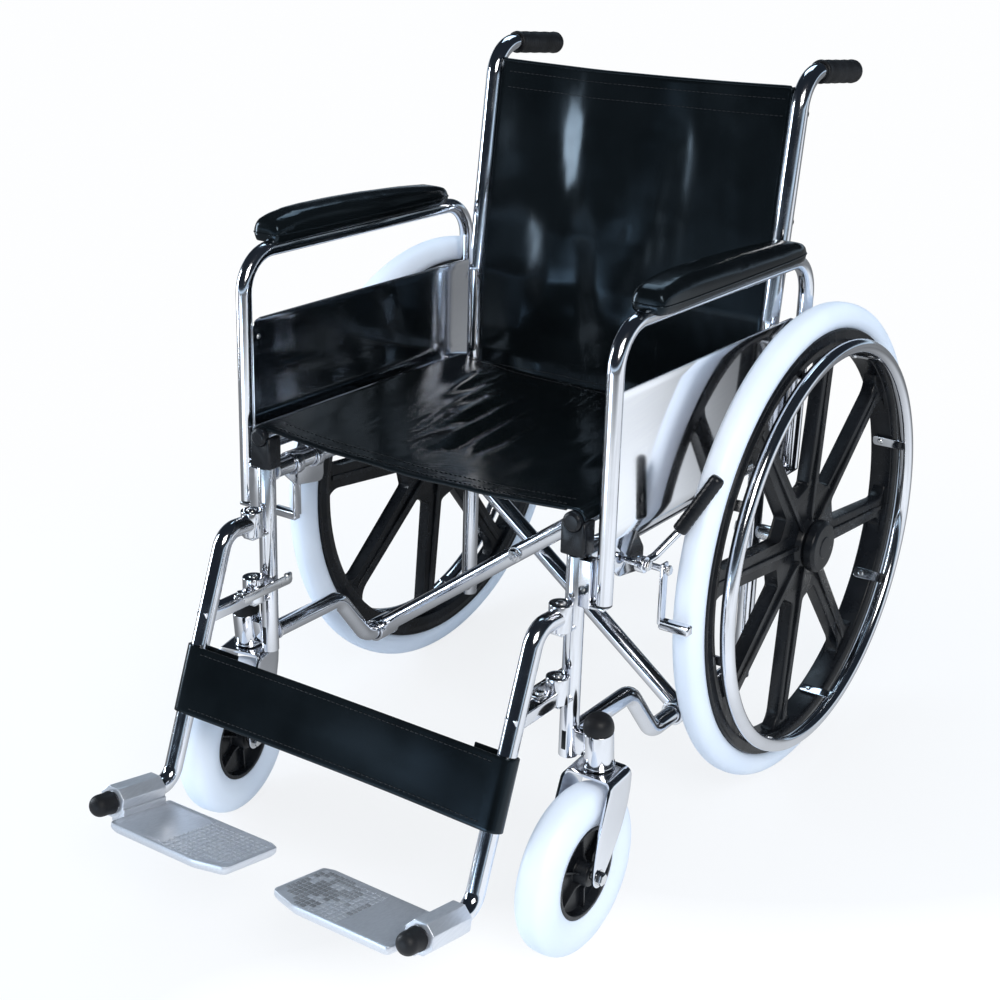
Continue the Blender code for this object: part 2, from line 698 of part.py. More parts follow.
def armrest(axes):
    x = ARM_X
    line = rounded([(x, ARM_FRONT_Y, ARM_FRONT_FOOT), (x, ARM_FRONT_Y, ARM_TOP),
                    (x, ARM_REAR_Y, ARM_TOP), (x, ARM_REAR_Y, ARM_REAR_FOOT)], 0.048, 5)
    hoop = tube(line, ARM_TUBE, 10)
    bores = [rod((x, y, foot - 0.01), (x, y, foot + 0.050), 0.0070, 12)
             for y, foot in ((ARM_FRONT_Y, ARM_FRONT_FOOT), (ARM_REAR_Y, ARM_REAR_FOOT))]
    pair(cut(hoop, *bores), "armrest_tube", CHROME, axes)
    pad = cushion([(PAD_FRONT, 0.014, 0.018), (PAD_FRONT + 0.010, 0.021, PAD_DEPTH),
                   (PAD_FRONT + 0.040, 0.0245, PAD_DEPTH + 0.008), (0.0, 0.0250, PAD_DEPTH + 0.008),
                   (0.090, 0.0250, PAD_DEPTH + 0.004), (PAD_REAR - 0.036, 0.0245, PAD_DEPTH),
                   (PAD_REAR - 0.010, 0.021, PAD_DEPTH - 0.006), (PAD_REAR, 0.013, 0.014)],
                  Matrix.Translation((PAD_X, 0, ARM_TOP + ARM_TUBE + GAP)) @ Matrix.Rotation(math.pi / 2, 4, "Z"))
    pair(pad, "arm_pad", VINYL, axes)
    front = ARM_FRONT_Y + 0.002
    rear = ARM_REAR_Y - 0.002
    panel_outline = smooth_corners([(front, SKIRT_FOOT, 0.012), (rear, SKIRT_FOOT, 0.012),
                                    (rear, SKIRT_TOP, 0.012), (front, SKIRT_TOP, 0.012)], 3)
    inner = (ARM_X - ARM_TUBE - GAP - 0.0006)
    panel = slab(panel_outline, 0.0012, frame_matrix((inner, 0, 0), (0, 1, 0), (0, 0, 1)))
    pair(panel, "skirt_panel", SHEET, axes)


# Footrests

def plate_point(along, inboard, up):
    """A point given from the corner where the hanger turns forward into the plate's pivot stub."""
    corner = Vector((FRAME_X, PLATE_CORNER_Y, PLATE_CORNER_Z))
    return corner + PLATE_ALONG * along + Vector((-inboard, 0, 0)) + PLATE_UP * up


def hanger(axes):
    x = FRAME_X
    line = rounded([(x, HINGE_Y, HANGER_TOP), (x, HANGER_BEND_Y, HANGER_TOP + 0.002),
                    (x, PLATE_CORNER_Y, PLATE_CORNER_Z), plate_point(STUB_LENGTH, 0, 0)], 0.026)
    pipe = tube(line, TUBE, 10)
    barrels = []
    holes = []
    for pin in (HINGE_HIGH_Z, HINGE_LOW_Z):
        barrels.append(rod((x, HINGE_Y, pin + 0.0045), (x, HINGE_Y, pin + 0.0360), 0.0135, 12))
        holes.append(rod((x, HINGE_Y, pin - 0.0030), (x, HINGE_Y, pin + 0.0300), 0.0052, 10))
    strut = block((x - 0.008, STRUT_Y, STRUT_Z - 0.008), (x + 0.008, HINGE_Y, STRUT_Z + 0.008), 0.0015)
    body = fuse(pipe, *barrels, strut)
    pair(cut(body, *holes), "footrest_hanger", CHROME, axes)
    tip_radius = 0.0135
    start = plate_point(BUMPER_START, 0, 0)
    length = BUMPER_END - BUMPER_START
    depth = STUB_LENGTH - BUMPER_START + GAP * 2
    bore = TUBE + 0.0009
    cap = turned([(0.0, depth), (bore, depth), (bore, 0.0), (tip_radius, 0.0),
                  (tip_radius, length - 0.005), (tip_radius * 0.8, length), (0.0, length)],
                 start, PLATE_ALONG, 12)
    pair(cap, "foot_bumper", RUBBER, axes)


def footplate(axes):
    """Cast plate with turned-down edges on an eight-sided barrel that swings on the hanger's stub."""
    barrel = rod(plate_point(0.0260, 0, 0), plate_point(0.0945, 0, 0), 0.0185, 8)
    outline = smooth_corners([(0.0150, 0.0155, 0.003), (0.0130, 0.170, 0.012), (0.0200, 0.184, 0.008),
                              (0.1010, 0.188, 0.014), (0.1140, 0.150, 0.030), (0.1150, 0.020, 0.006),
                              (0.0990, 0.0165, 0.003)], 3)
    place = frame_matrix(plate_point(0, 0, -0.0180), PLATE_ALONG, (-1, 0, 0))
    plate = slab(outline, 0.0120, place)
    inner = smooth_corners([(0.0185, 0.024, 0.004), (0.0165, 0.168, 0.010), (0.0225, 0.1805, 0.006),
                            (0.0990, 0.1845, 0.012), (0.1108, 0.149, 0.028), (0.1115, 0.024, 0.006)], 3)
    pocket_place = frame_matrix(plate_point(0, 0, -0.0260), PLATE_ALONG, (-1, 0, 0))
    pocket = slab(inner, 0.0200, pocket_place)
    cheek_outline = [(0.0252, 0.002), (0.0953, 0.002), (0.0953, 0.0195), (0.0252, 0.0195)]
    cheek = slab(cheek_outline, 0.0210, frame_matrix(plate_point(0, 0, -0.0117), PLATE_ALONG, (-1, 0, 0)))
    bore = rod(plate_point(0.0, 0, 0), plate_point(0.12, 0, 0), 0.0117, 16)
    body = cut(fuse(cut(plate, pocket), barrel, cheek), bore)
    pair(body, "footplate", ALUMINIUM, axes)


def release_latch(axes):
    """Lever on the strut whose strap reaches back past the front post."""
    top = STRUT_Z + 0.0083
    foot_outline = smooth_corners([(-0.268, -0.0170, 0), (-0.250, -0.0170, 0), (-0.250, 0.0010, 0.004),
                                   (-0.268, 0.0010, 0.004)], 2)
    foot = slab(foot_outline, 0.0026, frame_matrix((FRAME_X, 0, top + 0.0013), (0, 1, 0), (1, 0, 0)))
    strap_outline = smooth_corners([(-0.266, STRUT_Z + 0.002, 0.004), (LATCH_REAR, STRUT_Z + 0.002, 0.005),
                                    (LATCH_REAR, STRUT_Z + 0.014, 0.005), (-0.266, STRUT_Z + 0.014, 0.004)], 2)
    strap = slab(strap_outline, 0.0028, frame_matrix((LATCH_X, 0, 0), (0, 1, 0), (0, 0, 1)))
    thumb = block((LATCH_X - 0.0045, LATCH_REAR - 0.014, STRUT_Z + 0.008),
                  (LATCH_X + 0.0022, LATCH_REAR - 0.002, STRUT_Z + 0.018), 0.002)
    head = rod((LATCH_PIN_X, LATCH_PIN_Y, top + 0.001), (LATCH_PIN_X, LATCH_PIN_Y, top + 0.0055),
               0.0050, 10)
    pair(fuse(foot, strap, thumb, head), "footrest_latch", CHROME, axes)


# Brakes

def brake(lever_axes, shoe_axes):
    """Push-to-lock brake: a bracket clamped to the upper rail, a hand lever and a shoe bar before the tyre."""
    inner = FRAME_X + TUBE + GAP
    outline = smooth_corners([(-0.164, 0.430, 0.006), (-0.136, 0.404, 0.010), (-0.084, 0.396, 0.008),
                              (-0.084, 0.424, 0.008), (-0.104, 0.452, 0.006), (-0.164, 0.452, 0.006)], 2)
    plate = slab(outline, 0.0035, frame_matrix((inner + 0.00175, 0, 0), (0, 1, 0), (0, 0, 1)))
    lever_pin = rod((inner + 0.002, LEVER_Y, LEVER_Z), (LEVER_X + 0.008, LEVER_Y, LEVER_Z), 0.0040, 10)
    shoe_pin = rod((inner + 0.002, SHOE_Y, SHOE_Z), (SHOE_X + 0.006, SHOE_Y, SHOE_Z), 0.0040, 10)
    clamps = [rod((FRAME_X, y - 0.006, HIGH_RAIL_Z), (FRAME_X, y + 0.006, HIGH_RAIL_Z), 0.0148, 12)
              for y in (-0.154, -0.116)]
    bore = rod((FRAME_X, -0.19, HIGH_RAIL_Z), (FRAME_X, -0.08, HIGH_RAIL_Z), 0.0119, 12)
    pair(cut(fuse(plate, lever_pin, shoe_pin, *clamps), bore), "brake_bracket", CHROME)

    pivot = Vector((LEVER_X, LEVER_Y, LEVER_Z))
    bar = tube([pivot + Vector(step) for step in ((0, 0, 0), (0.004, 0.020, 0.004), GRIP_FOOT)], 0.0046, 8)
    eye = rod(pivot - Vector((0.005, 0, 0)), pivot + Vector((0.005, 0, 0)), 0.0095, 14)
    grip = rod(pivot + Vector(GRIP_FOOT), pivot + Vector(GRIP_TOP), 0.0088, 12)
    hole = rod(pivot - Vector((0.02, 0, 0)), pivot + Vector((0.02, 0, 0)), 0.0047, 14)
    pair(cut(fuse(bar, eye, grip), hole), "brake_lever", PLASTIC, lever_axes)

    hang = block((SHOE_X - 0.002, SHOE_Y - 0.007, SHOE_Z - 0.066), (SHOE_X + 0.002, SHOE_Y + 0.007, SHOE_Z + 0.008),
                 0.0012)
    foot = block((SHOE_X - 0.001, SHOE_Y - 0.006, SHOE_Z - 0.072), (SHOE_X + 0.038, SHOE_Y + 0.006, SHOE_Z - 0.060),
                 0.002)
    hole = rod((SHOE_X - 0.01, SHOE_Y, SHOE_Z), (SHOE_X + 0.01, SHOE_Y, SHOE_Z), 0.0047, 14)
    pair(cut(fuse(hang, foot), hole), "brake_shoe", CHROME, shoe_axes)


# Soft parts

def seat_sling(axis):
    """Vinyl over both seat rails, sagging between them, with soft creases that fan out from the rear."""
    lift = TUBE + 0.0022
    sag = 0.013
    section = []
    for degrees in (12, 35, 60, 85):
        a = math.radians(degrees)
        section.append((FRAME_X + lift * math.cos(a), SEAT_Z + lift * math.sin(a)))
    for share in (0.92, 0.82, 0.71, 0.59, 0.46, 0.31, 0.16, 0.0):
        section.append((FRAME_X * share, SEAT_Z + lift - 0.0005 - sag * (1 - share ** 2)))
    section += [(-x, z) for x, z in reversed(section[:-1])]
    rows = []
    count = 7
    for k in range(count):
        depth = k / (count - 1)
        y = SEAT_FRONT + 0.004 + (SEAT_REAR - SEAT_FRONT - 0.008) * depth
        row = []
        for x, z in section:
            slack = max(0.0, 1 - (x / 0.19) ** 2)
            crease = 0.0028 * math.sin(x * 52 + depth * 5) * math.sin(math.pi * depth)
            lip = 0.007 * (1 - min(1.0, depth * 5)) ** 2
            row.append((x, y, z - slack * (0.004 * math.sin(math.pi * depth) - crease + lip)))
        rows.append(row)
    named(sheet(rows, 0.0030), "seat_sling", VINYL, axis)


def back_sling():
    """Vinyl across the back posts, with the long upright folds of a slack back."""
    lift = TUBE + 0.0027
    rows = []
    for z in (BACK_HEM, 0.545, BACK_BEND_Z, 0.690, 0.765, 0.835, BACK_TOP):
        post_y = BACK_Y + max(0.0, z - BACK_BEND_Z) * BACK_SLOPE
        half = [(FRAME_X + lift * math.sin(a), post_y - lift * math.cos(a)) for a in (0.55, 0.25)]
        for share in (1.0, 0.92, 0.83, 0.73, 0.62, 0.51, 0.40, 0.30, 0.20, 0.10, 0.0):
            half.append((FRAME_X * share, post_y - lift + 0.0005 + 0.016 * (1 - share ** 2)))
        half += [(-x, y) for x, y in reversed(half[:-1])]
        row = []
        for x, y in half:
            slack = max(0.0, 1 - (x / 0.20) ** 2)
            fold = 0.0045 * math.sin(x * 68 + (z - 0.65) * 4)
            droop = 0.010 if z == BACK_TOP else 0.0
            row.append((x, y + slack * fold, z - droop * slack))
        rows.append(row)
    named(sheet(rows, 0.0030), "back_sling", VINYL)


def calf_strap(axis):
    """Band round the fronts of both hangers, its ends lapped behind them."""
    top = Vector((0, HANGER_BEND_Y, HANGER_TOP + 0.002))
    low = Vector((0, PLATE_CORNER_Y, PLATE_CORNER_Z))
    down = (low - top).normalized()
    front = Vector((0, down.z, -down.y))
    if front.y > 0:
        front = -front
    lift = TUBE + 0.0020
    path = [(FRAME_X - 0.050, -lift), (FRAME_X - 0.010, -lift)]
    for degrees in (-90, -60, -30, 0, 30, 60, 90):
        a = math.radians(degrees)
        path.append((FRAME_X + lift * math.cos(a), lift * math.sin(a)))
    path += [(FRAME_X * share, lift - 0.006 * (1 - share ** 2)) for share in (0.75, 0.45, 0.15)]
    path += [(-x, v) for x, v in reversed(path)]
    rows = []
    for share in (0.45, 0.58, 0.71):
        centre = top.lerp(low, share)
        rows.append([centre + Vector((x, 0, 0)) + front * v for x, v in path])
    named(sheet(rows, 0.0024), "calf_strap", VINYL, axis)


brace_middle = (LOW_RAIL_Z + SEAT_Z) / 2
rear_arm_axis = axis_empty("rear_arm_axis", (FRAME_X, REAR_ARM_Y, LOW_RAIL_Z))
front_arm_axis = axis_empty("front_arm_axis", (0, FRONT_ARM_Y, brace_middle), rear_arm_axis)
right_frame_axis = axis_empty("right_frame_axis", (-FRAME_X, FRONT_ARM_Y, LOW_RAIL_Z), front_arm_axis)
lever_axes = axis_pair("lever_axis", (LEVER_X, LEVER_Y, LEVER_Z))
shoe_axes = axis_pair("shoe_axis", (SHOE_X, SHOE_Y, SHOE_Z))
armrest_axes = axis_pair("armrest_axis", (ARM_X, ARM_FRONT_Y, ARM_FRONT_FOOT))
swing_axes = axis_pair("swing_axis", (FRAME_X, HINGE_Y, HANGER_TOP))
plate_axes = axis_pair("plate_axis", plate_point(0.06, 0, 0), swing_axes)
latch_axes = axis_pair("latch_axis", (LATCH_PIN_X, LATCH_PIN_Y, STRUT_Z), swing_axes)
wheel_axes = axis_pair("wheel_axis", (WHEEL_X, AXLE_Y, WHEEL_RADIUS), level=True)
swivel_axes = axis_pair("swivel_axis", (CASTER_X, STEM_Y, CASTER_CROWN), level=True)
caster_axes = axis_pair("caster_axis", (CASTER_X, STEM_Y - CASTER_TRAIL, CASTER_RADIUS), swivel_axes, level=True)

back_post()
front_post()
side_rails()
seat_saddles()
caster_housing()
wheel_axle()
rear_tyre(wheel_axes)
mag_wheel(wheel_axes)
handrim(wheel_axes)
caster_fork(swivel_axes)
caster_wheel(caster_axes)
armrest(armrest_axes)
hanger(swing_axes)
footplate(plate_axes)
release_latch(latch_axes)
brake(lever_axes, shoe_axes)
cross_brace(rear_arm_axis, front_arm_axis)
seat_sling(rear_arm_axis)
back_sling()
calf_strap(swing_axes[0])
swivel_axes[1].rotation_euler.z = RIGHT_SWIVEL
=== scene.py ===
import json
from math import atan2, cos, exp, pi, radians, sin, sqrt, tan, tau

import bmesh
import bpy
from mathutils import Matrix, Vector, noise
from mathutils.bvhtree import BVHTree


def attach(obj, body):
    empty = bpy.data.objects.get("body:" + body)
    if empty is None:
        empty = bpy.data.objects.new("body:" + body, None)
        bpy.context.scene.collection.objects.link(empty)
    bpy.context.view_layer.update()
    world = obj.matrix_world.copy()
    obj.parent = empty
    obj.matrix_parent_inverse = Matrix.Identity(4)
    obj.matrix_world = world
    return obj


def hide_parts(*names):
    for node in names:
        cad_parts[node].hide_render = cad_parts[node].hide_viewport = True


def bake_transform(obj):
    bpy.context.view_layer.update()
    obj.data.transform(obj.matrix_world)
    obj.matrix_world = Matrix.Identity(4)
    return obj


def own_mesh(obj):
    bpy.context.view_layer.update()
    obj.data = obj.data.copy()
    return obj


# A folding wheelchair in chrome tube and black vinyl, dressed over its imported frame.
# Metres, +Z up, the chair faces -Y. Left and right are the sitter's.

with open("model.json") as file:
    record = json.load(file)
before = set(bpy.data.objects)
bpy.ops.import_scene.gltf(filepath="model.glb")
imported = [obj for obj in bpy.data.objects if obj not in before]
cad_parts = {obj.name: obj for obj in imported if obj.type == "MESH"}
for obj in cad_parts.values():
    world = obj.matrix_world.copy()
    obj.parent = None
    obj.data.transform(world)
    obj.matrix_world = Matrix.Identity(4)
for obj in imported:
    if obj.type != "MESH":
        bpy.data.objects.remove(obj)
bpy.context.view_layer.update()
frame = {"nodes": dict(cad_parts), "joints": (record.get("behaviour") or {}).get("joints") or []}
joints = {joint["name"]: joint for joint in frame["joints"]}
print("frame loaded:", len(frame["nodes"]), "nodes")

# The frame, seat and footrests are drawn upright and lean back on the wheels about one point.
lean = {"angle": radians(5.8), "point": Vector((0, -0.177, 0.339))}
leaning = (Matrix.Translation(lean["point"]) @ Matrix.Rotation(-lean["angle"], 4, "X")
           @ Matrix.Translation(-lean["point"]))
mirrorX = Matrix.Scale(-1, 4, (1, 0, 0))

chair = {
    "gap": 0.0003,
    "tube": 0.011,
    "railX": 0.222,
    "postY": -0.203,
    "postFoot": 0.207,
    "postTop": 0.4495,
    "seatZ": 0.490,
    "seatFront": -0.216,
    "seatRear": 0.205,
    "lowRailZ": 0.157,
    "highRailZ": 0.442,
    "hingeY": -0.231,
    "hingePins": (0.3655, 0.279),
}
railX = chair["railX"]
tubeRadius = chair["tube"]
axleInFrame = leaning.inverted() @ Vector((0, 0.225, 0.305))
backY = axleInFrame.y


# Lists of numbers and points, then shapes. Each shape is a bmesh in the chair's own frame.

def spread(start, end, count):
    return [start + (end - start) * step / (count - 1) for step in range(count)]


def arc(*degrees):
    return [radians(angle) for angle in degrees]


def circle(radius, count, phase=0.0):
    angles = [tau * (k + phase) / count for k in range(count)]
    return [(radius * cos(angle), radius * sin(angle)) for angle in angles]


def radial(angle):
    return Vector((0, cos(angle), sin(angle)))


def axisPlace(origin, axis):
    turn = Vector(axis).to_track_quat("Z", "Y").to_matrix().to_4x4()
    return Matrix.Translation(Vector(origin)) @ turn


def facePlace(origin, across, up):
    across = Vector(across).normalized()
    normal = across.cross(Vector(up)).normalized()
    turn = Matrix((across, normal.cross(across), normal)).transposed().to_4x4()
    return Matrix.Translation(Vector(origin)) @ turn


def cornerArc(corner, into, out, radius):
    # The angle, middle and first spoke of the arc that rounds a corner.
    turn = into.angle(out)
    centre = corner + (out - into).normalized() * (radius / cos(turn / 2))
    return turn, centre, corner - into * (radius * tan(turn / 2)) - centre


def roundedPath(points, radius, steps):
    points = [Vector(point) for point in points]
    path = [points[0]]
    for before, corner, after in zip(points, points[1:], points[2:]):
        into = (corner - before).normalized()
        out = (after - corner).normalized()
        turn, centre, start = cornerArc(corner, into, out, radius)
        normal = into.cross(out).normalized()
        for step in range(steps + 1):
            path.append(centre + Matrix.Rotation(turn * step / steps, 3, normal) @ start)
    path.append(points[-1])
    return path


def roundedLoop(corners, steps):
    loop = []
    for index, (x, y, radius) in enumerate(corners):
        corner = Vector((x, y))
        if radius == 0:
            loop.append(corner)
            continue
        into = (corner - Vector(corners[index - 1][:2])).normalized()
        out = (Vector(corners[(index + 1) % len(corners)][:2]) - corner).normalized()
        turn, centre, start = cornerArc(corner, into, out, radius)
        side = 1 if into.x * out.y - into.y * out.x > 0 else -1
        for step in range(steps + 1):
            loop.append(centre + Matrix.Rotation(side * turn * step / steps, 2) @ start)
    return loop


def roundedBox(left, low, right, high, radius):
    return roundedLoop([(left, low, radius), (right, low, radius), (right, high, radius),
                        (left, high, radius)], 8)


def softCorners(profile, radius, steps):
    # An open profile whose inner corners are rounded, no further than half of each run.
    soft = [Vector(profile[0])]
    points = [Vector(point) for point in profile]
    for before, corner, after in zip(points, points[1:], points[2:]):
        into = corner - before
        out = after - corner
        turn = into.angle(out)
        if turn < 0.02:
            soft.append(corner)
            continue
        reach = min(radius * tan(turn / 2), into.length * 0.48, out.length * 0.48)
        start = corner - into.normalized() * reach
        end = corner + out.normalized() * reach
        for step in range(steps + 1):
            share = step / steps
            soft.append(start.lerp(corner, share).lerp(corner.lerp(end, share), share))
    soft.append(points[-1])
    return soft


def joined(*shapes):
    whole = bmesh.new()
    for shape in shapes:
        mesh = bpy.data.meshes.new("shape")
        shape.to_mesh(mesh)
        shape.free()
        whole.from_mesh(mesh)
        bpy.data.meshes.remove(mesh)
    return whole


def newRing(bm, points):
    return [bm.verts.new(point) for point in points]


def bridge(bm, low, high):
    for a, b, c, d in zip(low, low[1:] + low[:1], high[1:] + high[:1], high):
        bm.faces.new((a, b, c, d))


def loft(rings):
    # A closed skin over rings of points, capped at both ends.
    bm = bmesh.new()
    rings = [newRing(bm, ring) for ring in rings]
    for low, high in zip(rings, rings[1:]):
        bridge(bm, low, high)
    bm.faces.new(rings[0][::-1])
    bm.faces.new(rings[-1])
    return bm


def sweep(points, radius, sides=36, sizes=None, softEnd=0.0008):
    # A round tube along a path, its ends just rounded over.
    points = [Vector(point) for point in points]
    if sizes is None:
        first = points[0] + (points[1] - points[0]).normalized() * softEnd
        last = points[-1] + (points[-2] - points[-1]).normalized() * softEnd
        points = [points[0], first, *points[1:-1], last, points[-1]]
        endSize = 1 - softEnd / radius
        sizes = [endSize, *[1.0] * (len(points) - 2), endSize]
    rings = []
    side = (points[1] - points[0]).orthogonal().normalized()
    for index, point in enumerate(points):
        ahead = points[min(index + 1, len(points) - 1)] - points[max(index - 1, 0)]
        ahead.normalize()
        side = (side - ahead * side.dot(ahead)).normalized()
        up = ahead.cross(side)
        ring = []
        for k in range(sides):
            angle = tau * k / sides
            out = side * cos(angle) + up * sin(angle)
            ring.append(point + out * radius * sizes[index])
        rings.append(ring)
    return loft(rings)


def turned(profile, origin, axis, steps, ring=False):
    bm = bmesh.new()
    place = axisPlace(origin, axis)
    rings = []
    for radius, height in profile:
        if radius < 0.00001:
            rings.append([bm.verts.new(place @ Vector((0, 0, height)))] * steps)
            continue
        rings.append(newRing(bm, [place @ Vector((x, y, height)) for x, y in circle(radius, steps)]))
    followers = rings[1:] + rings[:1] if ring else rings[1:]
    for low, high in zip(rings, followers):
        for k in range(steps):
            corners = [low[k], low[(k + 1) % steps], high[(k + 1) % steps], high[k]]
            corners = [vert for index, vert in enumerate(corners) if vert not in corners[:index]]
            if len(corners) > 2:
                bm.faces.new(corners)
    bmesh.ops.recalc_face_normals(bm, faces=bm.faces)
    return bm


def ringProfile(inner, halfInner, points, soft, steps):
    # A closed ring profile from its upper outer points, mirrored about its middle.
    upper = [(inner, halfInner), *points]
    lower = [(radius, -height) for radius, height in reversed(upper)]
    corners = [(radius, height, soft) for radius, height in upper + lower]
    return [(point.x, point.y) for point in roundedLoop(corners, steps)]


def sleeve(inner, outer, half, centre, axis, sides, soft=0.0008, steps=3):
    return turned(ringProfile(inner, half, [(outer, half)], soft, steps), centre, axis, sides, ring=True)


def hexNut(face, radius, shoulder, height, spot, axis, soft=0.0006):
    profile = [(0, height), (face, height), (radius, shoulder), (radius, 0), (0, 0)]
    return turned(softCorners(profile, soft, 2), spot, axis, 6)


def turnedSoft(profile, soft, origin, axis, sides, steps=4):
    return turned(softCorners(profile, soft, steps), origin, axis, sides)


def rod(start, end, radius, edge=0.0006):
    start, end = Vector(start), Vector(end)
    length = (end - start).length
    profile = softCorners([(0, 0), (radius, 0), (radius, length), (0, length)], edge, 2)
    return turned(profile, start, end - start, 32)


def block(low, high, edge):
    low, high = Vector(low), Vector(high)
    bm = bmesh.new()
    bmesh.ops.create_cube(bm, size=1.0)
    bmesh.ops.scale(bm, vec=high - low, verts=bm.verts)
    bmesh.ops.translate(bm, vec=(low + high) / 2, verts=bm.verts)
    bmesh.ops.bevel(bm, geom=bm.edges[:], offset=edge, segments=3, profile=0.5, affect="EDGES")
    return bm


def newObject(name, data):
    thing = bpy.data.objects.new(name, data)
    bpy.context.scene.collection.objects.link(thing)
    return thing


def worked(bm, *steps):
    # The shape after Blender's own modifiers, each a kind and its settings.
    mesh = bpy.data.meshes.new("shape")
    bm.to_mesh(mesh)
    bm.free()
    holder = newObject("shape", mesh)
    for kind, settings in steps:
        modifier = holder.modifiers.new(kind, kind)
        for name, value in settings.items():
            setattr(modifier, name, value)
    return taken(holder)


def taken(holder):
    # The evaluated mesh of a helper object, which is removed.
    bpy.context.view_layer.update()
    graph = bpy.context.evaluated_depsgraph_get()
    mesh = bpy.data.meshes.new_from_object(holder.evaluated_get(graph))
    bm = bmesh.new()
    bm.from_mesh(mesh)
    bmesh.ops.transform(bm, matrix=holder.matrix_world, verts=bm.verts)
    bpy.data.objects.remove(holder, do_unlink=True)
    bpy.data.meshes.remove(mesh)
    return bm


def cutPlate(outline, thickness, place, holes=(), edge=0.0006):
    # A flat outline with holes, both its rims rounded over.
    curve = bpy.data.curves.new("outline", "CURVE")
    curve.dimensions = "2D"
    curve.fill_mode = "BOTH"
    curve.extrude = thickness / 2 - edge
    curve.bevel_depth = edge
    curve.bevel_resolution = 2
    curve.offset = -edge
    for loop in [outline, *holes]:
        spline = curve.splines.new("POLY")
        spline.use_cyclic_u = True
        spline.points.add(len(loop) - 1)
        for point, flat in zip(spline.points, loop):
            point.co = (flat[0], flat[1], 0, 1)
    holder = newObject("outline", curve)
    holder.matrix_world = place
    bm = taken(holder)
    bmesh.ops.remove_doubles(bm, verts=bm.verts, dist=0.00002)
    bmesh.ops.recalc_face_normals(bm, faces=bm.faces)
    return bm


def grid(rows):
    bm = bmesh.new()
    verts = [[bm.verts.new(point) for point in row] for row in rows]
    for low, high in zip(verts, verts[1:]):
        for a, b, c, d in zip(low, low[1:], high[1:], high):
            bm.faces.new((a, b, c, d))
    return bm


def bevelled(width, angle=30):
    return ("BEVEL", {"width": width, "segments": 2, "limit_method": "ANGLE",
                      "angle_limit": radians(angle)})


def refined(node, edge):
    # A CAD solid's own shape, welded, its sharp rims rounded.
    bm = bmesh.new()
    bm.from_mesh(frame["nodes"][node].data)
    bmesh.ops.remove_doubles(bm, verts=bm.verts, dist=0.000005)
    bmesh.ops.dissolve_limit(bm, angle_limit=radians(0.5), verts=bm.verts, edges=bm.edges)
    return worked(bm, bevelled(edge, 42))


def place(bm, name, finish, body, nodes=(), leaned=True, angle=40):
    mesh = bpy.data.meshes.new(name)
    bm.to_mesh(mesh)
    bm.free()
    if leaned:
        mesh.transform(leaning)
    mesh.materials.clear()
    mesh.materials.append(finish["material"])
    mesh.shade_smooth()
    mesh.set_sharp_from_angle(angle=radians(angle))
    piece = newObject(name, mesh)
    if body is not None:
        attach(piece, body)
    if nodes:
        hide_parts(*nodes)
    return piece


def placePair(bm, name, finish, body="frame", nodes=(), leaned=True, angle=40, turn=None):
    # The piece on the chair's left, and its mirror image on the right.
    twin = bm.copy()
    bmesh.ops.transform(twin, matrix=mirrorX, verts=twin.verts)
    bmesh.ops.reverse_faces(twin, faces=twin.faces)
    if turn is not None:
        bmesh.ops.transform(twin, matrix=turn, verts=twin.verts)
    bodies = body if isinstance(body, tuple) else (f"left_{body}", f"right_{body}")
    pieces = []
    for side, half, carrier in (("left", bm, bodies[0]), ("right", twin, bodies[1])):
        stands = [f"{side}_{node}" for node in nodes]
        pieces.append(place(half, side + name, finish, carrier, stands, leaned, angle))
    return pieces


def placeRefined(node, name, finish, edge, body="frame"):
    for side in ("left", "right"):
        place(refined(f"{side}_{node}", edge), side + name, finish, f"{side}_{body}",
              [f"{side}_{node}"], leaned=False, angle=43)


# Shader groups and materials

def newGroup(name, inputs, output):
    # A node group with named float inputs and one output.
    tree = bpy.data.node_groups.new(name, "ShaderNodeTree")
    for label, value in inputs.items():
        socket = tree.interface.new_socket(name=label, in_out="INPUT", socket_type="NodeSocketFloat")
        socket.default_value = value
    tree.interface.new_socket(name=output, in_out="OUTPUT", socket_type="NodeSocketFloat")
    return tree, tree.nodes.new("NodeGroupInput").outputs


def closeGroup(tree, value):
    tree.links.new(value, tree.nodes.new("NodeGroupOutput").inputs[0])
    return tree


def feed(tree, value, socket):
    # A link from another node, or a plain value.
    if isinstance(value, bpy.types.NodeSocket):
        tree.links.new(value, socket)
    else:
        socket.default_value = value


def source(tree, kind, output):
    return tree.nodes.new("ShaderNode" + kind).outputs[output]


def splitAxes(tree, vector):
    node = tree.nodes.new("ShaderNodeSeparateXYZ")
    tree.links.new(vector, node.inputs[0])
    return node.outputs


def mathNode(tree, operation, first, second, third=None):
    node = tree.nodes.new("ShaderNodeMath")
    node.operation = operation
    for index, value in enumerate((first, second, third)):
        if value is not None:
            feed(tree, value, node.inputs[index])
    return node.outputs[0]


def rangeNode(tree, value, low, high, toLow, toHigh):
    node = tree.nodes.new("ShaderNodeMapRange")
    node.interpolation_type = "SMOOTHSTEP"
    tree.links.new(value, node.inputs["Value"])
    for name, bound in (("From Min", low), ("From Max", high), ("To Min", toLow), ("To Max", toHigh)):
        feed(tree, bound, node.inputs[name])
    return node.outputs["Result"]


def noiseNode(tree, scale, detail, stretch=None):
    spot = source(tree, "TexCoord", "Object")
    if stretch is not None:
        mapping = tree.nodes.new("ShaderNodeMapping")
        mapping.inputs["Scale"].default_value = stretch
        tree.links.new(spot, mapping.inputs["Vector"])
        spot = mapping.outputs["Vector"]
    node = tree.nodes.new("ShaderNodeTexNoise")
    node.inputs["Detail"].default_value = detail
    tree.links.new(spot, node.inputs["Vector"])
    feed(tree, scale, node.inputs["Scale"])
    return node.outputs["Fac"]


